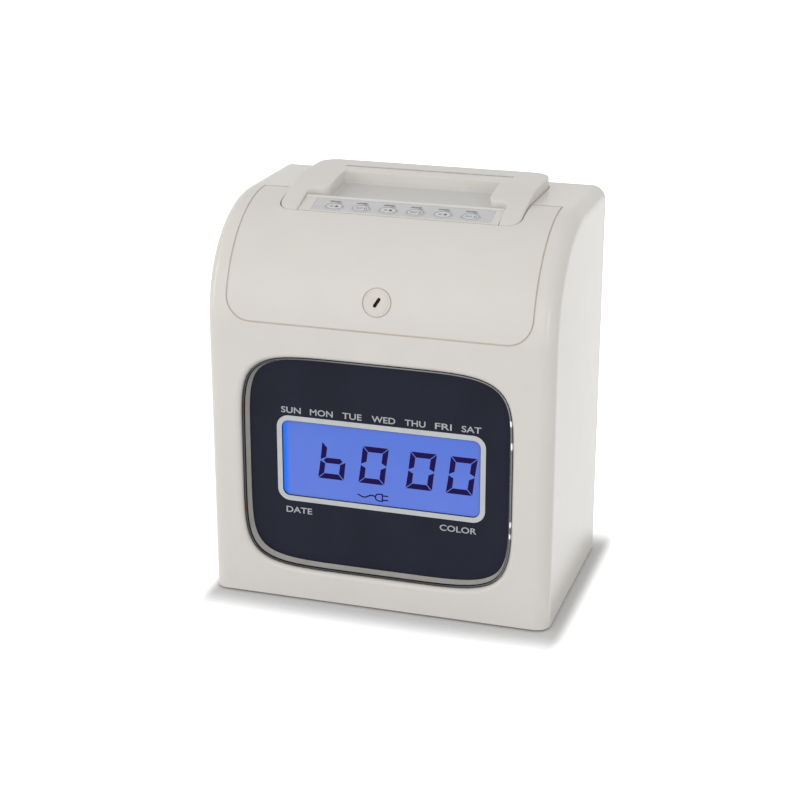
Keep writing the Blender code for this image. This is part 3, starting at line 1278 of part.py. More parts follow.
def card_lifter():
    """The cross bar that carries the card on two tongues, with its screw, guide rod and motor."""
    top = LIFTER_LOW + LIFTER_HEIGHT
    bar = block(
        (-LIFTER_HALF_WIDTH, LIFTER_Y - LIFTER_HALF_DEPTH, LIFTER_LOW),
        (LIFTER_HALF_WIDTH, LIFTER_Y + LIFTER_HALF_DEPTH, top))
    for side in (-1, 1):
        x = side * TONGUE_X
        fuse(bar, block(
            (x - TONGUE_HALF_WIDTH, CHANNEL_FRONT + FIT, top - TONGUE_HEIGHT),
            (x + TONGUE_HALF_WIDTH, LIFTER_Y, top)))
    for x, radius in ((-LIFTER_X, GUIDE_ROD_RADIUS), (LIFTER_X, LIFT_SCREW_RADIUS)):
        cut(bar, rod((x, LIFTER_Y, LIFTER_LOW - OVERRUN), (x, LIFTER_Y, top + OVERRUN), radius + FIT, PIN_SIDES))
    keep(bar, "card_lifter", "white_plastic", (0, LIFTER_Y, top))

    rod_top = CHASSIS_DECK + ROD_PROUD
    keep(rod((-LIFTER_X, LIFTER_Y, BASE_TOP + FIT), (-LIFTER_X, LIFTER_Y, rod_top), GUIDE_ROD_RADIUS, PIN_SIDES),
         "lift_guide_rod", "steel")
    motor = rod((LIFTER_X, LIFTER_Y, LIFT_MOTOR_LOW), (LIFTER_X, LIFTER_Y, LIFT_MOTOR_TOP), LIFT_MOTOR_RADIUS)
    cut(motor, rod((LIFTER_X, LIFTER_Y, LIFT_MOTOR_TOP - MOTOR_SHAFT_DEPTH - FIT),
                   (LIFTER_X, LIFTER_Y, LIFT_MOTOR_TOP + OVERRUN), MOTOR_SHAFT_RADIUS + FIT, PIN_SIDES))
    keep(motor, "lift_motor", "steel")
    shoulder = LIFT_MOTOR_TOP + FIT
    profile = [
        (0, rod_top), (LIFT_SCREW_RADIUS, rod_top), (LIFT_SCREW_RADIUS, shoulder), (MOTOR_SHAFT_RADIUS, shoulder),
        (MOTOR_SHAFT_RADIUS, LIFT_MOTOR_TOP - MOTOR_SHAFT_DEPTH), (0, LIFT_MOTOR_TOP - MOTOR_SHAFT_DEPTH)]
    keep(turned(profile, (LIFTER_X, LIFTER_Y, 0), PIN_SIDES), "lift_screw", "steel")


def carriage():
    """The carriage on its two shafts, gripping the belt's rear run."""
    body = block(
        (-CARRIAGE_HALF_WIDTH, CARRIAGE_FRONT, SHAFT_Z - CARRIAGE_BELOW),
        (CARRIAGE_HALF_WIDTH, CARRIAGE_REAR, CARRIAGE_TOP))
    reach = BELT_THICKNESS / 2 + FIT
    tall = BELT_HALF_HEIGHT + FIT
    lug = block(
        (-BELT_LUG_HALF_WIDTH, BELT_Y - BELT_LUG_REACH, BELT_Z - tall - BELT_LUG_REACH / 2),
        (BELT_LUG_HALF_WIDTH, CARRIAGE_FRONT + EMBED, BELT_Z + tall + BELT_LUG_REACH / 2))
    fuse(body, lug)
    wide = BELT_LUG_HALF_WIDTH + OVERRUN
    cut(body, block((-wide, BELT_Y - reach, BELT_Z - tall), (wide, BELT_Y + reach, BELT_Z + tall)))
    for y in (SHAFT_FRONT_Y, SHAFT_REAR_Y):
        far = CARRIAGE_HALF_WIDTH + OVERRUN
        cut(body, rod((-far, y, SHAFT_Z), (far, y, SHAFT_Z), SHAFT_RADIUS + FIT, PIN_SIDES))
    keep(body, "carriage", "black_plastic", (0, SHAFT_REAR_Y, SHAFT_Z))

    seat = CARRIAGE_TOP + FIT
    head = block((-HEAD_HALF_WIDTH, HEAD_FRONT, seat), (HEAD_HALF_WIDTH, HEAD_BACK, PRINT_Z + HEAD_HALF_HEIGHT))
    nose = block(
        (-NOSE_HALF_WIDTH, HEAD_BACK - EMBED, PRINT_Z - NOSE_HALF_HEIGHT),
        (NOSE_HALF_WIDTH, HEAD_TIP, PRINT_Z + NOSE_HALF_HEIGHT))
    keep(fuse(head, nose), "print_head", "grey_plastic", (0, SHAFT_REAR_Y, SHAFT_Z))

    reach = CHASSIS_SIDE + SHAFT_PROUD
    for name, y in (("shaft_front", SHAFT_FRONT_Y), ("shaft_rear", SHAFT_REAR_Y)):
        keep(rod((-reach, y, SHAFT_Z), (reach, y, SHAFT_Z), SHAFT_RADIUS, PIN_SIDES), name, "steel")


def belt_drive():
    """Motor, two pulleys and the belt that pulls the carriage."""
    low, high = PULLEY_LOW, PULLEY_LOW + PULLEY_HEIGHT
    motor_top = DECK_SEAT + CARRIAGE_MOTOR_HEIGHT
    motor = rod((-PULLEY_X, PULLEY_Y, DECK_SEAT), (-PULLEY_X, PULLEY_Y, motor_top), CARRIAGE_MOTOR_RADIUS)
    shaft_low = motor_top - MOTOR_SHAFT_DEPTH
    cut(motor, rod((-PULLEY_X, PULLEY_Y, shaft_low - FIT), (-PULLEY_X, PULLEY_Y, motor_top + OVERRUN),
                   MOTOR_SHAFT_RADIUS + FIT, PIN_SIDES))
    keep(motor, "carriage_motor", "steel")
    profile = [
        (0, high), (PULLEY_RADIUS, high), (PULLEY_RADIUS, low), (MOTOR_SHAFT_RADIUS, low),
        (MOTOR_SHAFT_RADIUS, shaft_low), (0, shaft_low)]
    keep(turned(profile, (-PULLEY_X, PULLEY_Y, 0)), "drive_pulley", "white_plastic")
    idler = rod((PULLEY_X, PULLEY_Y, low), (PULLEY_X, PULLEY_Y, high - FIT), PULLEY_RADIUS)
    cut(idler, rod((PULLEY_X, PULLEY_Y, low - OVERRUN), (PULLEY_X, PULLEY_Y, high + OVERRUN),
                   MOTOR_SHAFT_RADIUS + FIT, PIN_SIDES))
    keep(idler, "idler_pulley", "white_plastic", (PULLEY_X, PULLEY_Y, low))
    inner = PULLEY_RADIUS + FIT
    outer = inner + BELT_THICKNESS

    def loop(radius):
        right = arc_points((PULLEY_X, PULLEY_Y), radius, -90, 90, 8)
        return right + arc_points((-PULLEY_X, PULLEY_Y), radius, 90, 270, 8)

    belt = prism(loop(outer), "Z", BELT_Z - BELT_HALF_HEIGHT, BELT_Z + BELT_HALF_HEIGHT)
    cut(belt, prism(loop(inner), "Z", BELT_Z - BELT_HALF_HEIGHT - OVERRUN, BELT_Z + BELT_HALF_HEIGHT + OVERRUN))
    keep(belt, "carriage_belt", "rubber")


def platen():
    """The bar behind the card that takes the head's blows; its pad looks through the rear chute sheet."""
    pad_half = PRINT_WINDOW_HALF_WIDTH - PLATEN_PAD_MARGIN
    rear = CHANNEL_BACK + CHUTE_SHEET + FIT
    bar = block(
        (-CHASSIS_SIDE_INNER + FIT, rear, PRINT_Z - PLATEN_HALF_HEIGHT),
        (CHASSIS_SIDE_INNER - FIT, rear + PLATEN_DEPTH, PRINT_Z + PLATEN_HALF_HEIGHT))
    pad = block(
        (-pad_half, CHANNEL_BACK + PLATEN_SINK, PRINT_Z - PLATEN_HALF_HEIGHT),
        (pad_half, rear + PLATEN_DEPTH / 2, PRINT_Z + PLATEN_HALF_HEIGHT))
    keep(fuse(bar, pad), "platen", "rubber")


def ribbon():
    """The U-shaped cassette, its winding knob and the inked ribbon between its arms."""
    low, high = PRINT_Z - CASSETTE_HALF_HEIGHT, PRINT_Z + CASSETTE_HALF_HEIGHT
    arm_end = RIBBON_FRONT - FIT
    body = block((-CASSETTE_HALF_WIDTH, CASSETTE_FRONT, low), (CASSETTE_HALF_WIDTH, CASSETTE_BODY_REAR, high))
    for side in (-1, 1):
        arm = sorted((side * (CASSETTE_HALF_WIDTH - CASSETTE_ARM), side * CASSETTE_HALF_WIDTH))
        fuse(body, block((arm[0], CASSETTE_BODY_REAR - EMBED, low), (arm[1], arm_end, high)))
    cut(body, rod((KNOB_X, KNOB_Y, high - KNOB_STEM_LENGTH - FIT), (KNOB_X, KNOB_Y, high + OVERRUN),
                  KNOB_STEM_RADIUS + FIT, PIN_SIDES))
    keep(body, "ribbon_cassette", "black_plastic")
    seat = high + FIT
    grip = KNOB_RADIUS - KNOB_STEM_RADIUS / 2
    profile = [
        (0, seat + KNOB_HEIGHT), (grip, seat + KNOB_HEIGHT), (KNOB_RADIUS, seat + KNOB_HEIGHT / 2),
        (KNOB_RADIUS, seat), (KNOB_STEM_RADIUS, seat), (KNOB_STEM_RADIUS, high - KNOB_STEM_LENGTH),
        (0, high - KNOB_STEM_LENGTH)]
    keep(turned(profile, (KNOB_X, KNOB_Y, 0)), "ribbon_knob", "grey_plastic")
    half = CASSETTE_HALF_WIDTH - FIT
    keep(block((-half, RIBBON_FRONT, PRINT_Z - RIBBON_HALF_HEIGHT), (half, RIBBON_BACK, PRINT_Z + RIBBON_HALF_HEIGHT)),
         "ink_ribbon", "ribbon_cloth")


def power():
    """Battery pack, power board and the direct-current inlet."""
    seat = BASE_TOP + FIT
    outline = rounded_box(
        (-BATTERY_X - BATTERY_HALF_LENGTH, seat), (-BATTERY_X + BATTERY_HALF_LENGTH, seat + BATTERY_HEIGHT),
        (BATTERY_CORNER,) * 4)
    keep(prism(outline, "Y", BATTERY_Y - BATTERY_HALF_DEPTH, BATTERY_Y + BATTERY_HALF_DEPTH),
         "backup_battery", "white_plastic")
    low = BASE_TOP + POWER_POST_HEIGHT + FIT
    top = low + BOARD_THICKNESS
    board = block(
        (POWER_BOARD_X - POWER_BOARD_HALF_WIDTH, POWER_BOARD_Y - POWER_BOARD_HALF_DEPTH, low),
        (POWER_BOARD_X + POWER_BOARD_HALF_WIDTH, POWER_BOARD_Y + POWER_BOARD_HALF_DEPTH, top))
    inside = top - BOARD_THICKNESS / 2
    for y in (POWER_BOARD_Y, POWER_BOARD_Y + CAPACITOR_RADIUS * 3):
        fuse(board, rod((POWER_BOARD_X, y, inside), (POWER_BOARD_X, y, top + CAPACITOR_HEIGHT),
                        CAPACITOR_RADIUS, PIN_SIDES))
    y = POWER_BOARD_Y - POWER_BOARD_HALF_DEPTH / 2
    fuse(board, block(
        (POWER_BOARD_X - CONNECTOR_HALF_LENGTH, y - CONNECTOR_HALF_HEIGHT, inside),
        (POWER_BOARD_X + CONNECTOR_HALF_LENGTH, y + CONNECTOR_HALF_HEIGHT, top + CONNECTOR_HEIGHT)))
    keep(board, "power_board", "circuit_board")
    rear = REAR_INNER - FIT
    half = INLET_HALF_WIDTH
    inlet = block(
        (INLET_X - half, rear - INLET_LENGTH, INLET_HEIGHT - half), (INLET_X + half, rear, INLET_HEIGHT + half))
    fuse(inlet, rod((INLET_X, rear - EMBED, INLET_HEIGHT), (INLET_X, BACK - FIT, INLET_HEIGHT),
                    INLET_NOSE_RADIUS, ROUND_SIDES))
    cut(inlet, rod((INLET_X, BACK - INLET_BORE_DEPTH, INLET_HEIGHT), (INLET_X, BACK + OVERRUN, INLET_HEIGHT),
                   INLET_BORE_RADIUS, ROUND_SIDES))
    pin_start = BACK - INLET_BORE_DEPTH - EMBED
    fuse(inlet, rod((INLET_X, pin_start, INLET_HEIGHT), (INLET_X, BACK - REAR_THICKNESS, INLET_HEIGHT),
                    INLET_PIN_RADIUS, PIN_SIDES))
    keep(inlet, "dc_inlet", "black_plastic")


def main():
    main_case()
    rear_cover()
    base_plate()
    for corner, (x, y) in foot_places().items():
        foot(f"foot_{corner}", x, y)
    for index, (x, y) in enumerate(base_screw_places()):
        screw(f"base_screw_{index + 1}", (x, y, FOOT_PROUD), (0, 0, 1))
    for index, (x, z) in enumerate(rear_screw_places()):
        screw(f"rear_screw_{index + 1}", (x, BACK, z), (0, -1, 0))
    front_cover()
    hinge_pin("hinge_pin_left", -1)
    hinge_pin("hinge_pin_right", 1)
    lock()
    card_guide()
    key_panel()
    for index in range(KEY_COUNT):
        key(index)
    key_board()
    light_guide()
    window_bezel()
    display_panel()
    display_stack()
    chassis()
    chute()
    card_lifter()
    carriage()
    belt_drive()
    platen()
    ribbon()
    power()


main()
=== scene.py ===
"""Looks of the time clock: finer shells, printed words, display, materials, light, floor and camera.

Shapes are drawn in millimetres and turned into metres when they become pieces.
"""
import json
import math

import bmesh
import bpy
from mathutils import Matrix, Vector

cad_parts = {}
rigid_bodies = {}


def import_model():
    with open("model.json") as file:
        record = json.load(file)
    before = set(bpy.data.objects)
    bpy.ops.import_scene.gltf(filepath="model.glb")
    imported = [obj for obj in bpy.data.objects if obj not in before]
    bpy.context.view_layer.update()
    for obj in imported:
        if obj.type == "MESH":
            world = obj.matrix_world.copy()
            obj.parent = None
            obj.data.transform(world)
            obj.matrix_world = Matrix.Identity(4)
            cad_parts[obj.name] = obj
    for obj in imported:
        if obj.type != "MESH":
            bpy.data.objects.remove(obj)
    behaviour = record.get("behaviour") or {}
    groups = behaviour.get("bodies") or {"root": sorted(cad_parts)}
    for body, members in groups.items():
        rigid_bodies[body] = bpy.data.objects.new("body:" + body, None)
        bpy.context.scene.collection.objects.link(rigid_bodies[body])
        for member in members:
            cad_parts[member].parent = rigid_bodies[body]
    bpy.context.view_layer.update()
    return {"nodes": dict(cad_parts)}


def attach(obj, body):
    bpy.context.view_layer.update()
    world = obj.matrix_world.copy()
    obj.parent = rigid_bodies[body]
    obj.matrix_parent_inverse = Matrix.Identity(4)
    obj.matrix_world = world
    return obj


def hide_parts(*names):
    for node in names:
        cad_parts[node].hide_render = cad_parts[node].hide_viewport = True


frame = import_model()
scene = bpy.context.scene
scene.view_settings.view_transform = "Standard"

# Sizes of the case, as in the solids
HALF, FRONT, BACK, TOP = 85.5, -52.5, 52.5, 194.5
FLOOR_GAP, WALL, BASE_TOP = 1.0, 2.5, 3.5
ARC, ARC_Y, ARC_Z = 55.0, 2.5, 139.5
EDGE, SEAM, FIT, HAIR, EASE, LIP = 7.0, 0.4, 0.3, 0.04, 0.22, 0.4
REAR_INNER, CASE_REAR = 50.0, 49.7
COVER_HALF, COVER_BOTTOM, COVER_CORNER = 74.5, 142.2, 12.0
HINGE_Y, HINGE_Z, HINGE_BOSS, HINGE_PIN = -7.5, 189.0, 3.4, 1.5
SKY = 201.0
GUIDE_HALF, GUIDE_FRONT, GUIDE_BACK, GUIDE_TOP, GUIDE_UNDER = 59.5, -20.046, 47.0, 200.0, 188.5
CARD_Y, SLOT_HALF, SLOT_WIDTH = 33.0, 43.5, 2.8
SCOOP_BACK, SCOOP_HALF, BAY_HALF = 24.0, 40.0, 49.7
PANEL_HALF, PANEL_TALL, KEY_PITCH, KEY_ROW = 44.5, 5.6, 13.5, -1.8
KEY_LONG, KEY_TALL, KEY_PROUD, LIGHT_ROW, LIGHT_LONG, LIGHT_TALL = 4.7, 3.1, 0.4, 3.2, 2.3, 0.6
WINDOW_HALF, WINDOW_TALL, WINDOW_X, WINDOW_Z, WINDOW_POWER = 67.8, 55.0, -1.1, 71.0, 5.7
PANEL_Y, GLASS_Y, FIELD_Y = -46.2, -43.9, -45.4
LCD_HALF, LCD_TALL, LCD_Z, LCD_CORNER = 49.7, 19.4, 72.0, 3.5
SCREW_X, CHASSIS_FLOOR = 76.5, 131.3

AXES = {
    "X": Matrix(((0, 0, 1), (1, 0, 0), (0, 1, 0))).to_4x4(),
    "Y": Matrix(((1, 0, 0), (0, 0, -1), (0, 1, 0))).to_4x4(),
    "Z": Matrix.Identity(4),
}
SCRAP = bpy.data.collections.new("scrap")
scene.collection.children.link(SCRAP)


def camera():
    data = bpy.data.cameras.new("camera")
    data.sensor_width = 36
    data.lens = 83.81
    thing = bpy.data.objects.new("camera", data)
    thing.location = (0.2582, -0.8339, 0.4044)
    thing.rotation_euler = (math.radians(70.26), 0, math.radians(17.48))
    scene.collection.objects.link(thing)
    scene.camera = thing


# Materials

IVORY = (0.70, 0.671, 0.629)
WORN_EDGE = 0.53, 0.61
MATERIALS = {}


class Nodes:
    """A small helper that adds and links the nodes of one node tree."""

    def __init__(self, tree):
        self.tree = tree

    def add(self, kind, **settings):
        node = self.tree.nodes.new("ShaderNode" + kind)
        for key, value in settings.items():
            setattr(node, key, value)
        return node

    def feed(self, node, values):
        """Give a node's inputs, by name or number, their values; a value that is a socket is linked."""
        for key, value in values.items():
            if isinstance(value, bpy.types.NodeSocket):
                self.tree.links.new(value, node.inputs[key])
            else:
                node.inputs[key].default_value = value
        return node

    def work(self, kind, operation, *values):
        return self.feed(self.add(kind, operation=operation), dict(enumerate(values)))

    def number(self, operation, *values):
        return self.work("Math", operation, *values).outputs[0]

    def vector(self, operation, *values):
        return self.work("VectorMath", operation, *values).outputs[0]

    def split(self):
        """The X, Y and Z of a point on its object, in metres."""
        return self.feed(self.add("SeparateXYZ"), {"Vector": self.place}).outputs

    def noise(self, scale, detail=3.0, stretch=None):
        place = self.place
        if stretch is not None:
            place = self.feed(self.add("Mapping"), {"Vector": place, "Scale": stretch}).outputs["Vector"]
        node = self.add("TexNoise")
        return self.feed(node, {"Scale": scale, "Detail": detail, "Vector": place}).outputs["Fac"]

    def spread(self, source, low, high, start=0.35, end=0.65):
        values = {"Value": source, "From Min": start, "From Max": end, "To Min": low, "To Max": high}
        return self.feed(self.add("MapRange"), values).outputs["Result"]

    def blend(self, factor, first, second):
        """Mix two colours, each a colour or a socket."""
        node = self.add("Mix", data_type="RGBA")
        colours = [(*value, 1) if isinstance(value, tuple) else value for value in (first, second)]
        places = [i for i, socket in enumerate(node.inputs) if socket.type == "RGBA"]
        self.feed(node, {"Factor": factor, **dict(zip(places, colours))})
        return next(socket for socket in node.outputs if socket.type == "RGBA")

    def bump(self, source, distance):
        return self.feed(self.add("Bump"), {"Distance": distance, "Height": source}).outputs["Normal"]


class Paint(Nodes):
    """The nodes of a new material."""

    def __init__(self, name):
        self.material = bpy.data.materials.new(name)
        self.material.use_nodes = True
        super().__init__(self.material.node_tree)
        self.shader = self.tree.nodes["Principled BSDF"]
        self.place = self.add("TexCoord").outputs["Object"]


def tint(colour, factor):
    return tuple(min(1.0, channel * factor) for channel in colour)


def surface(name, colour, roughness, metallic=0.0, grain=2500, depth=0.00002, mottle=60, vary=0.03,
            wear=None, rough_vary=0.04, coat=0.0, stretch=None, specular=0.5):
    """A material with slow colour variation, fine grain and, where asked, worn edges."""
    nodes = Paint(name)
    slow = nodes.noise(mottle, 4)
    base = nodes.blend(nodes.spread(slow, 0, 1), tint(colour, 1 - vary), tint(colour, 1 + vary))
    if wear is not None:
        edge = nodes.add("NewGeometry").outputs["Pointiness"]
        base = nodes.blend(nodes.spread(edge, 0, 1, *WORN_EDGE), base, wear)
    fine = nodes.noise(grain, 2, stretch)
    nodes.feed(nodes.shader, {
        "Metallic": metallic, "Specular IOR Level": specular, "Coat Weight": coat, "Coat Roughness": 0.08,
        "Base Color": base, "Roughness": nodes.spread(fine, roughness - rough_vary, roughness + rough_vary),
        "Normal": nodes.bump(fine, depth)})
    MATERIALS[name] = nodes.material
    return nodes


def guide_material():
    """The guide's ivory, greyer on the floor of the finger scoop as painted shade."""
    nodes = surface("ivory_guide", (0.69, 0.665, 0.63), 0.4, vary=0.012, mottle=50, grain=2600, depth=0.00001,
                    specular=0.4, wear=(0.74, 0.725, 0.69))
    base = nodes.shader.inputs["Base Color"].links[0].from_socket
    _, y, z = nodes.split()
    # Painted shade: the scoop's floor, low and behind the front, is greyer.
    low = nodes.spread(z, 1, 0, 0.1935, 0.1955)
    behind = nodes.spread(y, 0, 1, -0.002, 0.002)
    scoop_shade_mask = nodes.number("MULTIPLY", low, behind)
    nodes.feed(nodes.shader, {"Base Color": nodes.blend(scoop_shade_mask, base, (0.625, 0.615, 0.595))})


def display_material():
    """The lit liquid crystal field: even blue, a brighter strip at its left end, a faint cloud."""
    nodes = Paint("display_field")
    x, _, z = nodes.split()
    strip = nodes.spread(x, 1, 0, -0.0483, -0.0463)
    upward = nodes.spread(z, 0, 1, 0.0525, 0.0915)
    field = nodes.blend(upward, (0.102, 0.170, 0.57), (0.083, 0.152, 0.55))
    field = nodes.blend(nodes.spread(nodes.noise(45, 2), 0, 0.25), field, (0.112, 0.185, 0.60))
    lit = nodes.blend(strip, field, (0.018, 0.16, 0.84))
    fine = nodes.noise(6000, 1)
    nodes.feed(nodes.shader, {
        "Base Color": lit, "Emission Color": lit, "Emission Strength": 0.33, "Specular IOR Level": 0.1,
        "Roughness": nodes.spread(fine, 0.22, 0.3), "Normal": nodes.bump(fine, 0.000004)})
    MATERIALS["display_field"] = nodes.material


def bezel_material():
    """A chrome rim whose dark tone is painted reflection, darkest below and at the left, with painted brown
    reflections at the left and painted highlights at the right; and the satin wall behind it.
    """
    nodes = Paint("bezel_chrome")
    x, y, z = nodes.split()
    # Painted reflection: the rim's tone darkens towards the bottom left.
    corner = nodes.number("ADD", x, z)
    rim = nodes.blend(nodes.spread(corner, 0, 1, 0.05, 0.125), (0.05, 0.048, 0.05), (0.15, 0.15, 0.155))
    reflection_brown, highlight_white = (0.085, 0.028, 0.011), (0.85, 0.85, 0.86)
    # Painted reflections: brown bands at the left and bright highlight lines at the right.
    painted_reflections = (
        (0.0975, 0.0032, -1, reflection_brown), (0.0455, 0.002, -1, reflection_brown), (0.1036, 0.0008, 1, highlight_white),
        (0.0925, 0.0011, 1, highlight_white), (0.0530, 0.0008, 1, highlight_white), (0.0470, 0.0006, 1, highlight_white))
    for height, half, side, colour in painted_reflections:
        far = nodes.number("ABSOLUTE", nodes.number("SUBTRACT", z, height))
        near = nodes.spread(far, 0.85, 0, half, half + 0.001)
        aside = nodes.spread(x, 0, 1, side * 0.060, side * 0.064)
        rim = nodes.blend(nodes.number("MULTIPLY", near, aside), rim, colour)
    wall = nodes.blend(nodes.spread(nodes.noise(120, 3), 0, 1), (0.55, 0.545, 0.50), (0.61, 0.60, 0.56))
    fine = nodes.noise(1400, 2)
    nodes.feed(nodes.shader, {
        "Base Color": nodes.blend(nodes.spread(y, 0, 1, -0.05, -0.0496), rim, wall),
        "Metallic": nodes.spread(y, 1, 0.2, -0.05, -0.0496), "Roughness": nodes.spread(fine, 0.14, 0.2),
        "Normal": nodes.bump(fine, 0.000004)})
    MATERIALS["chrome"] = nodes.material


def make_materials():
    surface("ivory", IVORY, 0.24, vary=0.012, mottle=35, grain=2600, depth=0.000006, specular=0.38, rough_vary=0.03)
    surface("ivory_cover", tint(IVORY, 0.995), 0.34, vary=0.012, mottle=38, grain=2600, depth=0.000008,
            specular=0.38)
    # Painted shade for the grooves round the cover, the guide and the lock.
    surface("seam_painted_shade", (0.62, 0.57, 0.50), 0.5, mottle=200, specular=0.2)
    surface("slit_painted_shade", (0.115, 0.075, 0.045), 0.5, vary=0.08, mottle=400, specular=0.2)
    surface("lock_plastic", (0.67, 0.635, 0.58), 0.38, vary=0.02, mottle=160, grain=3200, depth=0.000012)
    surface("grey_panel", (0.59, 0.59, 0.60), 0.46, vary=0.02, mottle=90, grain=4200, depth=0.00001, specular=0.3)
    surface("key_grey", (0.63, 0.63, 0.635), 0.42, vary=0.02, mottle=220, grain=4200, depth=0.00001, specular=0.3)
    surface("key_ring", (0.24, 0.24, 0.245), 0.5, vary=0.08, mottle=300, specular=0.2)
    surface("print_dark", (0.13, 0.13, 0.135), 0.55, vary=0.08, mottle=500, specular=0.2)
    surface("print_light", (0.40, 0.415, 0.435), 0.5, mottle=300)
    surface("print_silver", (0.53, 0.55, 0.56), 0.42, mottle=140)
    surface("segment", (0.014, 0.006, 0.07), 0.4, vary=0.06, mottle=400, specular=0.05)
    surface("dark_panel", (0.0125, 0.014, 0.027), 0.3, vary=0.12, mottle=30, grain=5200, depth=0.000006,
            specular=0.1)
    surface("rubber", (0.028, 0.028, 0.029), 0.82, vary=0.15, mottle=200, grain=1800, depth=0.00005)
    surface("screw_steel", (0.52, 0.52, 0.53), 0.3, 1.0, vary=0.06, mottle=500, wear=(0.75, 0.75, 0.75),
            stretch=(1, 1, 6))
    surface("steel", (0.56, 0.56, 0.57), 0.24, 1.0, vary=0.05, mottle=150, grain=900, stretch=(12, 1, 1),
            depth=0.00001)
    surface("zinc_sheet", (0.50, 0.515, 0.53), 0.38, 1.0, vary=0.14, mottle=220, grain=700, wear=(0.7, 0.7, 0.7))
    surface("white_plastic", (0.74, 0.74, 0.72), 0.42, mottle=80)
    surface("black_plastic", (0.022, 0.022, 0.023), 0.5, vary=0.12, mottle=120, grain=2200, depth=0.00004,
            wear=(0.06, 0.06, 0.06))
    surface("grey_plastic", (0.22, 0.22, 0.225), 0.5, vary=0.06, mottle=110, grain=2200, depth=0.00003,
            wear=(0.32, 0.32, 0.32))
    surface("circuit_board", (0.018, 0.13, 0.05), 0.36, vary=0.3, mottle=420, grain=1200, depth=0.00003, coat=0.4)
    surface("ribbon_cloth", (0.03, 0.015, 0.05), 0.92, vary=0.25, mottle=900, grain=3800, depth=0.00006)
    display_material()
    guide_material()
    bezel_material()
    lens = surface("clear_light", (0.26, 0.26, 0.27), 0.35, vary=0.05, depth=0.00001)
    lens.feed(lens.shader, {"Transmission Weight": 0.35})


# Shapes, in millimetres

def add_object(name, mesh):
    thing = bpy.data.objects.new(name, mesh)
    SCRAP.objects.link(thing)
    return thing


def mesh_from(shape, place=None):
    bmesh.ops.recalc_face_normals(shape, faces=shape.faces)
    if shape.calc_volume(signed=True) < 0:
        bmesh.ops.reverse_faces(shape, faces=shape.faces)
    if place is not None:
        shape.transform(place)
    mesh = bpy.data.meshes.new("shape")
    shape.to_mesh(mesh)
    shape.free()
    return mesh


def block(low, high, place=None, round_by=0.0, steps=2):
    """A box between two corners, with eased edges where asked."""
    low, high = Vector(low), Vector(high)
    shape = bmesh.new()
    bmesh.ops.create_cube(shape, size=1)
    shape.transform(Matrix.Translation((low + high) / 2) @ Matrix.Diagonal((*(high - low), 1)))
    if round_by:
        bmesh.ops.bevel(shape, geom=shape.edges[:], offset=round_by, segments=steps, profile=0.5, affect="EDGES")
    return add_object("block", mesh_from(shape, place))


def rod(start, end, radius, sides=40, place=None):
    start, end = Vector(start), Vector(end)
    along = end - start
    shape = bmesh.new()
    bmesh.ops.create_cone(shape, cap_ends=True, segments=sides, radius1=radius, radius2=radius, depth=along.length)
    turn = Vector((0, 0, 1)).rotation_difference(along).to_matrix().to_4x4()
    shape.transform(Matrix.Translation((start + end) / 2) @ turn)
    return add_object("rod", mesh_from(shape, place))


def prism(outline, axis, low, high, place=None, holes=()):
    """A flat outline, with holes where given, drawn out along an axis."""
    curve = bpy.data.curves.new("outline", "CURVE")
    curve.dimensions = "2D"
    curve.fill_mode = "BOTH"
    curve.extrude = abs(high - low) / 2
    for loop in (outline, *holes):
        spline = curve.splines.new("POLY")
        spline.points.add(len(loop) - 1)
        for point, (a, b) in zip(spline.points, loop):
            point.co = (a, b, 0, 1)
        spline.use_cyclic_u = True
    guide = bpy.data.objects.new("outline", curve)
    SCRAP.objects.link(guide)
    mesh = bpy.data.meshes.new_from_object(guide.evaluated_get(bpy.context.evaluated_depsgraph_get()))
    bpy.data.objects.remove(guide, do_unlink=True)
    shape = bmesh.new()
    shape.from_mesh(mesh)
    bmesh.ops.remove_doubles(shape, verts=shape.verts, dist=0.002)
    if not holes:
        bmesh.ops.dissolve_limit(shape, angle_limit=math.radians(0.2), verts=shape.verts, edges=shape.edges)
    middle = (low + high) / 2
    if axis == "Y":
        middle = -middle
    shape.transform(AXES[axis] @ Matrix.Translation((0, 0, middle)))
    return add_object("prism", mesh_from(shape, place))


def turned(profile, sides=48, place=None):
    """A turned body from (radius, height) points, about the Z axis; the ends close on the axis."""
    shape = bmesh.new()
    rings = []
    for radius, height in profile:
        if radius == 0:
            rings.append([shape.verts.new((0, 0, height))])
        else:
            ring = []
            for step in range(sides):
                angle = math.tau * step / sides
                ring.append(shape.verts.new((radius * math.cos(angle), radius * math.sin(angle), height)))
            rings.append(ring)
    for near, far in zip(rings, rings[1:]):
        for i in range(sides):
            j = (i + 1) % sides
            corners = []
            for corner in (near[i % len(near)], near[j % len(near)], far[j % len(far)], far[i % len(far)]):
                if corner not in corners:
                    corners.append(corner)
            shape.faces.new(corners)
    return add_object("turned", mesh_from(shape, place))


def settle(thing):
    """Apply what the object's modifiers do, and drop the tools that they used."""
    tools = [m.object for m in thing.modifiers if m.type == "BOOLEAN"]
    mesh = bpy.data.meshes.new_from_object(thing.evaluated_get(bpy.context.evaluated_depsgraph_get()))
    thing.modifiers.clear()
    thing.data = mesh
    for tool in set(tools):
        bpy.data.objects.remove(tool, do_unlink=True)
    return thing


def combine(thing, operation, tools):
    """Booleans one after the other; each tool is settled first."""
    for tool in tools:
        if tool.modifiers:
            settle(tool)
        modifier = thing.modifiers.new(operation.lower(), "BOOLEAN")
        modifier.operation = operation
        modifier.object = tool
        modifier.solver = "EXACT"
    return thing


def cut(thing, *tools):
    return combine(thing, "DIFFERENCE", tools)


def fuse(thing, *tools):
    return combine(thing, "UNION", tools)


def trim(thing, *tools):
    return combine(thing, "INTERSECT", tools)


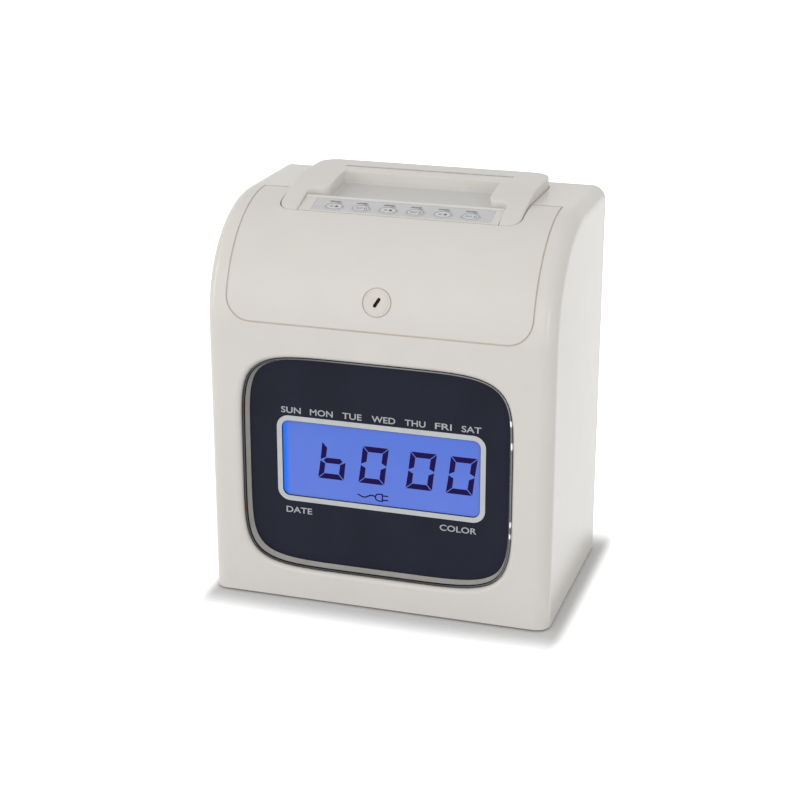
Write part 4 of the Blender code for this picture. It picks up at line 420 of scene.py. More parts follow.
def bevel_where(thing, chosen, radius, segments):
    shape = bmesh.new()
    shape.from_mesh(thing.data)
    edges = []
    for edge in shape.edges:
        if len(edge.link_faces) == 2 and edge.calc_face_angle() > math.radians(30):
            if chosen(edge.verts[0].co, edge.verts[1].co):
                edges.append(edge)
    bmesh.ops.bevel(
        shape, geom=edges, offset=radius, offset_type="OFFSET", segments=segments, profile=0.5, affect="EDGES",
        clamp_overlap=False)
    shape.to_mesh(thing.data)
    shape.free()
    return thing


def arc_points(centre, radius, start, end, steps):
    points = []
    for step in range(steps + 1):
        angle = math.radians(start + (end - start) * step / steps)
        points.append((centre[0] + radius * math.cos(angle), centre[1] + radius * math.sin(angle)))
    return points


def rounded_box(low, high, radii, steps=10):
    corners = (
        (low[0], low[1], 1, 1, 180), (high[0], low[1], -1, 1, 270),
        (high[0], high[1], -1, -1, 0), (low[0], high[1], 1, -1, 90))
    points = []
    for (a, b, to_a, to_b, start), radius in zip(corners, radii):
        if radius > 0:
            points += arc_points((a + to_a * radius, b + to_b * radius), radius, start, start + 90, steps)
        else:
            points.append((a, b))
    return points


def oval(centre, half_long, half_tall, steps=40):
    points = []
    for step in range(steps):
        angle = math.tau * step / steps
        points.append((centre[0] + half_long * math.cos(angle), centre[1] + half_tall * math.sin(angle)))
    return points


def on_arc(angle, sink):
    """The frame of a point on the curved front: X along the clock, Y up the slope, Z outwards."""
    radius = ARC - sink
    up = (0, math.sin(angle), math.cos(angle))
    out = (0, -math.cos(angle), math.sin(angle))
    at = (0, ARC_Y - radius * math.cos(angle), ARC_Z + radius * math.sin(angle))
    place = Matrix.Identity(4)
    for row in range(3):
        place[row][1] = up[row]
        place[row][2] = out[row]
        place[row][3] = at[row]
    return place


LOCK_ANGLE = math.asin(16.5 / ARC)
LOCK_FRAME = on_arc(LOCK_ANGLE, 0)
PANEL_FRAME = Matrix.Translation((1.1, 0, 0)) @ on_arc(math.radians(73), 0.8)


def skin_normal(point):
    """The true direction of the case's outer skin at a point on it, or None away from it."""
    x, y, z = point
    if y < ARC_Y and z > ARC_Z:
        away = Vector((0, y - ARC_Y, z - ARC_Z))
        depth = ARC - away.length
        front = away.normalized()
    elif z <= ARC_Z:
        depth = y - FRONT
        front = Vector((0, -1, 0))
    else:
        depth = TOP - z
        front = Vector((0, 0, 1))
    side = abs(x) - (HALF - EDGE)
    if side <= 0:
        return front if abs(depth) < 0.03 else None
    inward = EDGE - depth
    if abs(math.hypot(side, inward) - EDGE) > 0.05 or inward < 0:
        return None
    return (front * inward + Vector((math.copysign(side, x), 0, 0))).normalized()


def skin_depth(point):
    """How far a point lies under the case's outer skin."""
    x, y, z = point
    if y < ARC_Y and z > ARC_Z:
        depth = ARC - math.hypot(y - ARC_Y, z - ARC_Z)
    else:
        depth = TOP - z
    side = abs(x) - (HALF - EDGE)
    if side <= 0 or depth >= EDGE:
        return min(depth, HALF - abs(x))
    return EDGE - math.hypot(side, EDGE - depth)


def paint_seam_shade(mesh):
    """Put the walls and floors of the grooves round the cover, the guide and the lock in a darker warm beige, as
    painted shade.
    """
    mesh.materials.append(MATERIALS["seam_painted_shade"])
    for face in mesh.polygons:
        point = face.center * 1000
        if point.z > COVER_BOTTOM - 1.5 and 0.08 < skin_depth(point) < WALL - 0.1 and point.y < BACK - 4:
            face.material_index = 1


def true_normals(mesh):
    """Give the outer skin its exact normals, so that the small flats of its curve don't show."""
    found = [skin_normal(vertex.co * 1000) for vertex in mesh.vertices]
    normals = [corner.vector.copy() for corner in mesh.corner_normals]
    for face in mesh.polygons:
        for corner in face.loop_indices:
            exact = found[mesh.loops[corner].vertex_index]
            if exact is not None and exact.dot(face.normal) > 0.985:
                normals[corner] = exact
    mesh.normals_split_custom_set(normals)


def piece(thing, name, material, body, nodes=(), sharp=35, skin=False, flat=False):
    """Make a shape a piece of the clock, in metres, riding on a body and standing for CAD nodes."""
    if thing.modifiers:
        settle(thing)
    thing.data.transform(Matrix.Scale(0.001, 4))
    SCRAP.objects.unlink(thing)
    scene.collection.objects.link(thing)
    thing.name = name
    thing.data.name = name
    thing.data.materials.clear()
    thing.data.materials.append(MATERIALS[material])
    if flat:
        thing.data.shade_flat()
    else:
        thing.data.shade_smooth()
        thing.data.set_sharp_from_angle(angle=math.radians(sharp))
    if skin:
        paint_seam_shade(thing.data)
        true_normals(thing.data)
    elif not flat:
        weigh = thing.modifiers.new("weigh", "WEIGHTED_NORMAL")
        weigh.keep_sharp = True
    if nodes:
        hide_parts(*nodes)
    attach(thing, body)
    return thing


# The case

def case_solid(inset, low, rear):
    radius = ARC - inset
    outline = [(FRONT + inset, low)]
    outline += arc_points((ARC_Y, ARC_Z), radius, 180, 90, 72)
    outline += [(rear, ARC_Z + radius), (rear, low)]
    half = HALF - inset
    solid = prism(outline, "X", -half, half)

    def side_edge(a, b):
        on_side = abs(abs(a.x) - half) < 0.1 and abs(abs(b.x) - half) < 0.1 and a.x * b.x > 0
        on_rear = abs(a.y - rear) < 0.1 and abs(b.y - rear) < 0.1
        on_floor = abs(a.z - low) < 0.1 and abs(b.z - low) < 0.1
        return on_side and not on_rear and not on_floor

    return bevel_where(solid, side_edge, EDGE - inset, 10)


def cover_region(gap):
    """The space of the front cover; its rear edge follows the swing round the hinge."""
    half = COVER_HALF + gap
    corner = COVER_CORNER + gap
    front_view = rounded_box((-half, COVER_BOTTOM - gap), (half, SKY + 1), (corner, corner, 0, 0), 14)
    region = prism(front_view, "Y", FRONT - 2, CASE_REAR)
    reach = math.hypot(10, 5.5) + gap
    top_y = HINGE_Y + math.sqrt(reach ** 2 - 5.5 ** 2)
    inner_y = HINGE_Y + math.sqrt(reach ** 2 - 3.0 ** 2)
    slope = (inner_y - top_y) / WALL
    low_y = inner_y + slope * HINGE_BOSS
    side_view = [
        (FRONT - 1, COVER_BOTTOM - COVER_CORNER), (low_y, COVER_BOTTOM - COVER_CORNER),
        (low_y, TOP - WALL - HINGE_BOSS), (top_y - slope * (SKY - TOP), SKY), (FRONT - 1, SKY)]
    return trim(region, prism(side_view, "X", -HALF, HALF))


def guide_plan(grow):
    front, rear = 5.6 + grow, 9.0 + grow
    return rounded_box(
        (-GUIDE_HALF - grow, GUIDE_FRONT - grow), (GUIDE_HALF + grow, GUIDE_BACK + grow),
        (front, front, rear, rear), 14)


def window_outline(grow, count=160):
    points = []
    power = WINDOW_POWER
    for step in range(count):
        angle = math.tau * (step + 0.5) / count
        cosine, sine = math.cos(angle), math.sin(angle)
        a = WINDOW_HALF * math.copysign(abs(cosine) ** (2 / power), cosine)
        b = WINDOW_TALL * math.copysign(abs(sine) ** (2 / power), sine)
        slope_a = math.copysign(abs(a / WINDOW_HALF) ** (power - 1) / WINDOW_HALF, a)
        slope_b = math.copysign(abs(b / WINDOW_TALL) ** (power - 1) / WINDOW_TALL, b)
        size = math.hypot(slope_a, slope_b)
        points.append((WINDOW_X + a + grow * slope_a / size, WINDOW_Z + b + grow * slope_b / size))
    return points


def window_loft(section, ring):
    shape = bmesh.new()
    loops = [[shape.verts.new((a, FRONT + depth, b)) for a, b in window_outline(grow)] for grow, depth in section]
    rows = len(loops)
    count = len(loops[0])
    for row in range(rows if ring else rows - 1):
        near, far = loops[row], loops[(row + 1) % rows]
        for i in range(count):
            j = (i + 1) % count
            shape.faces.new((near[i], near[j], far[j], far[i]))
    if not ring:
        shape.faces.new(loops[0])
        shape.faces.new(loops[-1])
    return add_object("loft", mesh_from(shape))


def window_cutter():
    """The opening in the case, its front edge rolled in."""
    lip = 2.2
    section = [(lip, -1)]
    for step in range(11):
        angle = math.radians(9 * step)
        section.append((lip * (1 - math.sin(angle)), 0.05 + lip * (1 - math.cos(angle))))
    section.append((0, WALL + 1))
    return window_loft(section, ring=False)


def hinge_lug(low_x, high_x):
    outline = arc_points((HINGE_Y, HINGE_Z), HINGE_BOSS, 180, 360, 16)
    outline += [(HINGE_Y + HINGE_BOSS, TOP), (HINGE_Y - HINGE_BOSS, TOP)]
    return prism(outline, "X", low_x, high_x)


def hinge_bore():
    return rod((-79.4, HINGE_Y, HINGE_Z), (79.4, HINGE_Y, HINGE_Z), HINGE_PIN + FIT, 24)


def base_screws():
    return [(side * SCREW_X, end * 14) for side in (-1, 1) for end in (-1, 1)]


def rear_screws():
    return [(side * SCREW_X, z) for side in (-1, 1) for z in (24.0, 165.0)]


def span(a, b):
    return min(a, b), max(a, b)


def case_fittings():
    """Bosses, ledges, hinge lugs and the lock's catch inside the case."""
    fittings = []
    for x, y in base_screws():
        low, high = span(x, math.copysign(HALF, x))
        boss = rod((x, y, 3.8), (x, y, 15.8), 4, 24)
        fittings.append(fuse(boss, block((low, y - 1.5, 3.8), (high, y + 1.5, 15.8))))
    for x, z in rear_screws():
        low, high = span(x, math.copysign(HALF, x))
        boss = rod((x, 37.7, z), (x, CASE_REAR, z), 4, 24)
        fittings.append(fuse(boss, block((low, 37.7, z - 1.5), (high, CASE_REAR, z + 1.5))))
    for side in (-1, 1):
        low, high = span(side * 80, side * HALF)
        fittings.append(block((low, -14, CHASSIS_FLOOR - 3.3), (high, 44, CHASSIS_FLOOR - 0.3)))
        low, high = span(side * 75.4, side * 78.4)
        fittings.append(hinge_lug(low, high))
    top = COVER_BOTTOM - SEAM - 1.6
    fittings.append(block((-10, FRONT, top - 2.7), (10, catch_rear(top - 2.7), top)))
    return fittings


def catch_rear(height):
    centre = LOCK_FRAME @ Vector((0, 0, -12.5))
    return centre.y - (centre.z - height) * math.tan(LOCK_ANGLE) - 1


def add_fittings(shell, fittings):
    """Join what stands inside a shell, kept under its outer skin."""
    skin = case_solid(WALL / 2, FLOOR_GAP, CASE_REAR)
    for fitting in fittings:
        fuse(shell, trim(settle(fitting), add_object("skin", skin.data.copy())))
    bpy.data.objects.remove(skin, do_unlink=True)


def skin_only(region, depth):
    """The part of a region that lies nearer to the case's outside than a depth."""
    return cut(region, case_solid(depth, 0, CASE_REAR + 1))


def seam_cutters():
    """The openings for the cover and the guide: eased at the skin, closed to a hair a little below it."""
    for region in (cover_region(SEAM + EASE), prism(guide_plan(SEAM + EASE), "Z", GUIDE_UNDER, SKY + 1)):
        yield skin_only(region, EASE)
    for region in (cover_region(SEAM), prism(guide_plan(SEAM), "Z", GUIDE_UNDER, SKY + 2)):
        yield skin_only(region, LIP)
    yield trim(cover_region(0.18), block((-HALF - 1, -1, ARC_Z), (HALF + 1, BACK, SKY - 1)))
    yield cover_region(HAIR)
    yield prism(guide_plan(HAIR), "Z", GUIDE_UNDER, SKY)


def main_case():
    shell = case_solid(0, FLOOR_GAP, CASE_REAR)
    cut(shell, case_solid(WALL, 0, CASE_REAR + 1), *seam_cutters())
    add_fittings(shell, case_fittings())
    cut(shell, window_cutter(), hinge_bore())
    for x, y in base_screws():
        cut(shell, rod((x, y, 2.8), (x, y, 14.8), 1.7, 24))
    for x, z in rear_screws():
        cut(shell, rod((x, CASE_REAR + 1, z), (x, 38.7, z), 1.7, 24))
    piece(shell, "case_shell", "ivory", "case", ["main_case"], sharp=28, skin=True)


def front_cover():
    cover = case_solid(0, FLOOR_GAP, CASE_REAR)
    trim(cover, cover_region(0))
    cut(cover, case_solid(WALL, 0, CASE_REAR + 1), prism(guide_plan(SEAM), "Z", ARC_Z, SKY))
    cut(cover, skin_only(cut(cover_region(SEAM), cover_region(-EASE)), EASE))
    cut(cover, skin_only(prism(guide_plan(SEAM + EASE), "Z", ARC_Z, SKY + 1), EASE))
    lugs = [hinge_lug(*span(side * 70, side * 67)) for side in (-1, 1)]
    add_fittings(cover, [*lugs, rod((0, 0, 0), (0, 0, -11), 9.7, 48, LOCK_FRAME)])
    seat = [(0, 1), (7.35, 1), (7.35, 0.02), (7.15, -0.12), (7.05, -0.5), (6.78, -0.55), (6.78, -1.7), (0, -1.7)]
    cut(cover, turned(seat, 64, LOCK_FRAME))
    cut(cover, rod((0, 0, 1), (0, 0, -12), 5.8, 40, LOCK_FRAME), hinge_bore())
    piece(cover, "cover_shell", "ivory_cover", "cover", ["front_cover"], sharp=28, skin=True)


def lock():
    """The cylinder with its key slit, the slit's walls dark as painted shade, and a fine ring round its face."""
    profile = [
        (0, -0.1), (5.4, -0.1), (5.5, -0.2), (5.75, -0.2), (5.85, -0.1), (6.35, -0.1), (6.6, -0.2), (6.7, -0.5),
        (6.7, -1.4), (5.5, -1.4), (5.5, -12.2), (0, -12.2)]
    cylinder = turned(profile, 72, LOCK_FRAME)
    turn = LOCK_FRAME @ Matrix.Rotation(math.radians(-30), 4, "Z")
    slit = rounded_box((-0.85, -2.6), (0.85, 2.6), (0.85,) * 4, 6)
    cut(cylinder, prism(slit, "Z", -3.2, 1, turn))
    cut(cylinder, rod((0, 0, -13.2), (0, 0, -7.2), 1.7, 24, LOCK_FRAME))
    core = piece(cylinder, "lock_core", "lock_plastic", "lock", ["lock_cylinder"], flat=True)
    # The faces inside the key slit get painted shade.
    core.data.materials.append(MATERIALS["slit_painted_shade"])
    back = LOCK_FRAME.inverted()
    for face in core.data.polygons:
        point = back @ (face.center * 1000)
        if math.hypot(point.x, point.y) < 3 and -4 < point.z < -0.15:
            face.material_index = 1


def pocket_plan():
    bay_rear = ARC_Y - 4.5
    half = [(BAY_HALF, GUIDE_FRONT - 2)]
    half += arc_points((BAY_HALF - 4, bay_rear - 4), 4, 0, 90, 10)
    half += arc_points((SCOOP_HALF + 4, bay_rear + 4), 4, 270, 180, 10)
    half += arc_points((SCOOP_HALF - 2, SCOOP_BACK - 2), 2, 0, 90, 8)
    return half + [(-x, y) for x, y in reversed(half)]


def pocket_side():
    floor = ARC - 3
    lean = math.degrees(math.acos((ARC_Y - GUIDE_FRONT + 2) / floor))
    rise = math.degrees(math.acos(4.5 / floor))
    outline = arc_points((ARC_Y, ARC_Z), floor, 180 - lean, 180 - rise, 16)
    start, end = outline[-1], (SCOOP_BACK + 1, TOP - 1.1)
    for step in range(1, 13):
        share = step / 12
        z = start[1] + (end[1] - start[1]) * share - 0.6 * math.sin(math.pi * share)
        outline.append((start[0] + (end[0] - start[0]) * share, z))
    return outline + [(end[0], SKY + 1), (GUIDE_FRONT - 2, SKY + 1)]


def guide_profile():
    run = SCOOP_BACK - GUIDE_FRONT
    angle = math.radians(65.8)
    drop = GUIDE_TOP - (ARC_Z + ARC * math.sin(angle) + 0.1)
    radius = (run ** 2 + drop ** 2) / (2 * drop)
    sweep = math.degrees(math.asin((run + 1) / radius))
    outline = [(GUIDE_BACK + 1, GUIDE_UNDER), (GUIDE_BACK + 1, GUIDE_TOP)]
    outline += arc_points((SCOOP_BACK, GUIDE_TOP - radius), radius, 90, 90 + sweep, 32)
    under = ARC - 6
    lean = math.degrees(math.acos((ARC_Y - GUIDE_FRONT + 1) / under))
    return outline + arc_points((ARC_Y, ARC_Z), under, 180 - lean, 90, 16)


def key_x(index):
    return (index - 2.5) * KEY_PITCH


def key_hole(index, near, far, room=FIT):
    return prism(oval((key_x(index), KEY_ROW), KEY_LONG + room, KEY_TALL + room), "Z", near, far, PANEL_FRAME)


def light_hole(index, near, far, half_long=LIGHT_LONG + FIT, half_tall=LIGHT_TALL + FIT, shift=0.0):
    x, y = key_x(index) + shift, LIGHT_ROW
    outline = rounded_box((x - half_long, y - half_tall), (x + half_long, y + half_tall), (0.4,) * 4, 4)
    return prism(outline, "Z", near, far, PANEL_FRAME)


def card_guide():
    """The raised frame on top, its edges softened, and the crisp bed of the keys."""
    guide = prism(guide_profile(), "X", -GUIDE_HALF - 1, GUIDE_HALF + 1)
    trim(guide, prism(guide_plan(0), "Z", ARC_Z, SKY))
    pocket = prism(pocket_plan(), "Z", ARC_Z, SKY)
    trim(pocket, prism(pocket_side(), "X", -GUIDE_HALF, GUIDE_HALF))
    cut(guide, pocket)
    room = block((-47.3, -5.9, -31), (47.3, 6.9, -3.5), PANEL_FRAME)
    cut(guide, room)
    fuse(guide, block((-64, ARC_Y + 6, 189.7), (64, CASE_REAR - FIT, 191.7)))
    settle(guide)
    remesh = guide.modifiers.new("remesh", "REMESH")
    remesh.mode = "VOXEL"
    remesh.voxel_size = 0.45
    smooth = guide.modifiers.new("smooth", "SMOOTH")
    smooth.factor = 0.5
    smooth.iterations = 9
    thin = guide.modifiers.new("thin", "DECIMATE")
    thin.ratio = 0.3
    settle(guide)
    half = SLOT_WIDTH / 2
    slot = rounded_box((-SLOT_HALF, CARD_Y - half), (SLOT_HALF, CARD_Y + half), (half,) * 4, 8)
    cut(guide, prism(slot, "Z", GUIDE_UNDER - 1, SKY))
    piece(guide, "guide_frame", "ivory_guide", "case", ["card_guide"], sharp=60)

    left, right = -BAY_HALF - 0.9, BAY_HALF - 1.3
    bed = block((left, -6.9, -3.5), (right, PANEL_TALL + 1.7, 0.06), PANEL_FRAME, 0.05)
    lip = block((left, PANEL_TALL + 0.3, -1.75), (right, PANEL_TALL + 1.7, 0.6), PANEL_FRAME, 0.35)
    fuse(bed, lip)
    cut(bed, block((-PANEL_HALF - 0.05, -PANEL_TALL - 0.05, -1.02), (PANEL_HALF + 0.05, PANEL_TALL + 0.05, 2),
                   PANEL_FRAME))
    for index in range(6):
        cut(bed, key_hole(index, -4.5, 1), light_hole(index, -4.5, 1))
    piece(bed, "key_bed", "ivory_guide", "case")


def words(text, centre, width, height, to_place, thickness=0.03):
    """Bold plain capitals of a given size round a centre, as a thin layer."""
    curve = bpy.data.curves.new("words", "FONT")
    curve.body = text
    curve.extrude = 0.5
    curve.offset = 0.014
    curve.resolution_u = 4
    thing = bpy.data.objects.new("words", curve)
    SCRAP.objects.link(thing)
    mesh = bpy.data.meshes.new_from_object(thing.evaluated_get(bpy.context.evaluated_depsgraph_get()))
    bpy.data.objects.remove(thing, do_unlink=True)
    points = [v.co for v in mesh.vertices]
    low = [min(p[i] for p in points) for i in range(3)]
    high = [max(p[i] for p in points) for i in range(3)]
    middle = Matrix.Translation([-(a + b) / 2 for a, b in zip(low, high)])
    scale = Matrix.Diagonal((width / (high[0] - low[0]), height / (high[1] - low[1]), thickness, 1))
    shape = bmesh.new()
    shape.from_mesh(mesh)
    bmesh.ops.remove_doubles(shape, verts=shape.verts, dist=0.0001)
    shape.transform(Matrix.Translation((*centre, 0)) @ scale @ middle)
    return add_object("words", mesh_from(shape, to_place))


def keys():
    """The grey panel, the six oval keys with their legends, and the small dark windows above them."""
    panel = block((-PANEL_HALF, -PANEL_TALL, -1), (PANEL_HALF, PANEL_TALL, 0), PANEL_FRAME, 0.12)
    for index in range(6):
        cut(panel, key_hole(index, -2, 1, 0.12), light_hole(index, -2, 1, 1.05, 0.5, 1.15))
    piece(panel, "panel_sheet", "grey_panel", "case", ["key_panel"])
    for index in range(6):
        x = key_x(index)
        body = f"key_{index + 1}"
        ring = prism(
            oval((x, KEY_ROW), 4.3, 2.75), "Z", 0.3, 0.385, PANEL_FRAME, [oval((x, KEY_ROW), 3.95, 2.4)])
        piece(ring, f"key_outline_{index + 1}", "key_ring", body)
        bar = block((x + 0.3, 1.75, -0.02), (x + 2.9, 2.2, 0.03), PANEL_FRAME)
        piece(bar, f"light_mark_{index + 1}", "key_ring", "case")
        cap = key_cap(x)
        fuse(cap, block((x - 5.4, -5.6, -4.8), (x + 5.4, 1.3 + KEY_ROW + 1.8, -3.8), PANEL_FRAME))
        piece(cap, f"key_cap_{index + 1}", "key_grey", body, [f"key_{index + 1}"])
        top = PANEL_FRAME @ Matrix.Translation((x, KEY_ROW, KEY_PROUD))
        if index % 2 == 0:
            legend = words("IN", (-1.1, 0), 1.5, 1.3, top)
            mark = prism(oval((1.3, 0), 0.8, 0.8, 24), "Z", -0.015, 0.015, top)
        else:
            legend = words("OUT", (-0.8, 0), 3.4, 1.4, top)
            mark = prism(oval((2.3, 0), 0.65, 0.95, 24), "Z", -0.015, 0.015, top, [oval((2.3, 0), 0.35, 0.65, 24)])
        piece(mark, f"key_mark_{index + 1}", "print_dark", body)
        piece(legend, f"key_word_{index + 1}", "print_dark", body)


def key_cap(x):
    """An oval cap whose top is slightly crowned and eased at its rim."""
    sections = [(1.0, -4.3), (1.0, 0.1), (0.975, 0.24), (0.92, 0.33), (0.8, 0.375), (0.5, 0.395), (0.2, 0.4)]
    shape = bmesh.new()
    loops = []
    for share, height in sections:
        outline = oval((x, KEY_ROW), KEY_LONG * share, KEY_TALL * share, 48)
        loops.append([shape.verts.new((a, b, height)) for a, b in outline])
    for near, far in zip(loops, loops[1:]):
        for i in range(48):
            j = (i + 1) % 48
            shape.faces.new((near[i], near[j], far[j], far[i]))
    shape.faces.new(loops[0])
    shape.faces.new(loops[-1])
    return add_object("cap", mesh_from(shape, PANEL_FRAME))


# Window and display

def bezel():
    """The chrome ring: a rounded rim, an inner wall that leans in and a flange behind the case's wall."""
    rim = arc_points((-0.85, 2.25), 0.55, 0, -180, 10)
    section = rim + [(-1.95, 4.2), (-2.6, 6.1), (3.0, 6.1), (3.0, 2.8), (-0.3, 2.8)]
    piece(window_loft(section, ring=True), "bezel_ring", "chrome", "case", ["window_bezel"], sharp=40)


def lcd_outline(grow):
    corner = LCD_CORNER + grow
    return rounded_box((-LCD_HALF - grow, LCD_Z - LCD_TALL - grow), (LCD_HALF + grow, LCD_Z + LCD_TALL + grow),
                       (corner,) * 4)


WORDS = (
    ("SUN", -44.9, 97.0, 10.4), ("MON", -29.4, 97.0, 12.0), ("TUE", -13.9, 97.0, 10.1), ("WED", 1.9, 97.0, 12.2),
    ("THU", 17.6, 97.0, 10.6), ("FRI", 31.5, 97.0, 8.5), ("SAT", 45.2, 97.0, 9.9), ("DATE", -41.6, 45.1, 13.8),
    ("COLOR", 39.2, 45.4, 18.8))


def panel():
    """The dark panel with its printed frame and words."""
    near = PANEL_Y - FRONT
    section = [(2.7, near), (3.0, near + 0.3), (3.0, near + 2.0)]
    sheet = window_loft(section, ring=False)
    cut(sheet, prism(lcd_outline(0), "Y", PANEL_Y - 1, PANEL_Y + 3))
    piece(sheet, "panel_face", "dark_panel", "case", ["display_panel"])
    silver = prism(lcd_outline(2.7), "Y", PANEL_Y - 0.05, PANEL_Y + 0.02, holes=[lcd_outline(0.15)])
    piece(silver, "panel_frame", "print_silver", "case")
    for text, x, z, width in WORDS:
        front = Matrix.Translation((0, PANEL_Y, 0)) @ AXES["Y"]
        piece(words(text, (x, z), 0.97 * width, 3.15, front, 0.05), f"word_{text.lower()}", "print_light", "case")


def flipped(points):
    """The points upside down, going the other way round from the same first one."""
    return [(a, -b) for a, b in (points[0], *points[:0:-1])]


def segments(lit, centre):
    """One seven-segment digit, leaning right; its segments have mitred ends."""
    wide, tall, thick, gap, lean = 6.55, 9.55, 2.75, 0.3, 0.13
    half, side, inner = thick / 2, wide - gap, wide - thick - gap
    top = [(-side, tall), (side, tall), (inner, tall - thick), (-inner, tall - thick)]
    left = [(-wide, tall - gap), (-wide + thick, tall - thick - gap), (-wide + thick, half + gap), (-wide + 0.15, gap)]
    shapes = {
        "top": top, "bottom": flipped(top), "left_high": left, "left_low": flipped(left),
        "middle": [(-inner, half), (inner, half), (side - half, 0), (inner, -half), (-inner, -half), (half - side, 0)],
    }
    for name in ("high", "low"):
        shapes["right_" + name] = [(-a, b) for a, b in shapes["left_" + name]]
    return [[(centre[0] + a + lean * b, centre[1] + b) for a, b in shapes[name]] for name in lit]


def stroke(points, width):
    """The outline of a line of even width along the points."""
    left, right = [], []
    for i, point in enumerate(points):
        before, after = points[max(i - 1, 0)], points[min(i + 1, len(points) - 1)]
        along = Vector((after[0] - before[0], after[1] - before[1])).normalized()
        left.append((point[0] - along.y * width / 2, point[1] + along.x * width / 2))
        right.append((point[0] + along.y * width / 2, point[1] - along.x * width / 2))
    return left + right[::-1]


def plug_sign():
    """A small mains plug with its lead, in line work."""
    x, z = -3.0, 56.6
    lead = [(x - 8.6 + 0.8 * i, z + 0.7 * math.sin(i * 0.62 + 2.2)) for i in range(12)]
    body = arc_points((x + 2.2, z), 2.1, 90, 270, 12) + [(x + 4.3, z - 2.1), (x + 4.3, z + 2.1)]
    hollow = arc_points((x + 2.2, z), 1.45, 90, 270, 12) + [(x + 3.65, z - 1.45), (x + 3.65, z + 1.45)]
    prongs = [rounded_box((x + 4.3, z + b - 0.33), (x + 6.9, z + b + 0.33), (0,) * 4) for b in (-1.1, 1.1)]
    return [(stroke(lead, 0.68), ()), (body, (hollow,)), *[(p, ()) for p in prongs]]


def display():
    """The lit glass with its figures."""
    glass = block((-53, GLASS_Y, 49.3), (53, GLASS_Y + 2, 94.7), None, 0.2)
    fuse(glass, prism(lcd_outline(-0.05), "Y", FIELD_Y, GLASS_Y + 1))
    piece(glass, "lcd_field", "display_field", "case", ["lcd_glass"])
    zero = ("top", "bottom", "left_high", "left_low", "right_high", "right_low")
    b = ("bottom", "middle", "left_high", "left_low", "right_low")
    figures = [(b, -24.6), (zero, -4.0), (zero, 19.9), (zero, 39.9)]
    for number, (lit, x) in enumerate(figures):
        for part, outline in enumerate(segments(lit, (x + 0.6, 72.8))):
            bar = prism(outline, "Y", FIELD_Y - 0.04, FIELD_Y + 0.01)
            piece(bar, f"figure_{number + 1}_{part + 1}", "segment", "case")
    for number, (outline, holes) in enumerate(plug_sign()):
        line = prism(outline, "Y", FIELD_Y - 0.04, FIELD_Y + 0.01, holes=holes)
        piece(line, f"plug_sign_{number + 1}", "segment", "case")


# Back and underside

def screw_piece(name, node, seat, into):
    """A pan head with a cross recess, and its shank."""
    place = Matrix.Translation(seat) @ Vector((0, 0, -1)).rotation_difference(Vector(into)).to_matrix().to_4x4()
    profile = [(0, -0.02), (1.9, -0.06), (2.6, -0.3), (2.95, -0.7), (3.0, -1.3), (1.4, -1.3), (1.4, -9.2), (0, -10)]
    head = turned(profile, 40, place)
    for turn in (0, 90):
        arm = place @ Matrix.Rotation(math.radians(turn), 4, "Z")
        cut(head, block((-1.6, -0.32, -0.9), (1.6, 0.32, 0.5), arm))
    piece(head, name, "screw_steel", "case", [node])


def rear_cover():
    outline = rounded_box((-HALF, FLOOR_GAP), (HALF, TOP), (1.2, 1.2, EDGE, EDGE), 12)
    plate = prism(outline, "Y", REAR_INNER, BACK)

    def back_edge(a, b):
        return abs(a.y - BACK) < 0.1 and abs(b.y - BACK) < 0.1

    bevel_where(plate, back_edge, 1.2, 5)
    for x in (-45, 45):
        z = 149.5
        head = rod((x, REAR_INNER - 1, z), (x, BACK + 1, z), 4.8, 40)
        slot = rounded_box((x - 2.4, z), (x + 2.4, z + 11.4), (0, 0, 2.4, 2.4), 12)
        cut(plate, fuse(head, prism(slot, "Y", REAR_INNER - 1, BACK + 1)))
    for row in range(5):
        z = 62 + 6 * row
        vent = rounded_box((-30, z - 1.1), (30, z + 1.1), (1.1,) * 4, 8)
        cut(plate, prism(vent, "Y", REAR_INNER - 1, BACK + 1))
    cut(plate, rod((26, REAR_INNER - 1, 18), (26, BACK + 1, 18), 4.8, 40))
    for x, z in rear_screws():
        cut(plate, rod((x, BACK + 1, z), (x, BACK - 1.6, z), 3.3, 40), rod((x, BACK, z), (x, BACK - 4, z), 1.7, 24))
    piece(plate, "rear_panel", "ivory", "case", ["rear_cover"], sharp=28)


def small_parts():
    for index, (x, y) in enumerate(base_screws()):
        screw_piece(f"base_screw_head_{index + 1}", f"base_screw_{index + 1}", (x, y, FLOOR_GAP), (0, 0, 1))
    for index, (x, z) in enumerate(rear_screws()):
        screw_piece(f"rear_screw_head_{index + 1}", f"rear_screw_{index + 1}", (x, BACK, z), (0, -1, 0))
    pad = [(0, 5.2), (2.6, 5.2), (3.0, 5.0), (3.8, 3.8), (3.0, 3.75), (3.0, 2.2), (6.8, 2.2), (7.0, 2.0), (7.0, 0.5),
           (6.85, 0.15), (6.5, 0), (4.5, 0), (4.2, 0.25), (0, 0.25)]
    for corner, x, y in (("front_left", -1, -1), ("front_right", 1, -1), ("rear_left", -1, 1), ("rear_right", 1, 1)):
        foot = turned(pad, 48, Matrix.Translation((x * 70.5, y * 38, 0)))
        piece(foot, f"pad_{corner}", "rubber", "case", [f"foot_{corner}"])


INNER = {
    "ivory": "base_plate",
    "steel": "hinge_pin_left hinge_pin_right lift_guide_rod lift_motor lift_screw shaft_front shaft_rear "
             "carriage_motor",
    "screw_steel": "lock_screw",
    "zinc_sheet": "lock_cam chassis chute_front chute_rear",
    "circuit_board": "key_board main_board power_board",
    "clear_light": "light_guide",
    "white_plastic": "lcd_backlight card_lifter drive_pulley idler_pulley backup_battery",
    "black_plastic": "buzzer carriage ribbon_cassette dc_inlet",
    "grey_plastic": "print_head ribbon_knob",
    "rubber": "carriage_belt platen",
    "ribbon_cloth": "ink_ribbon",
}


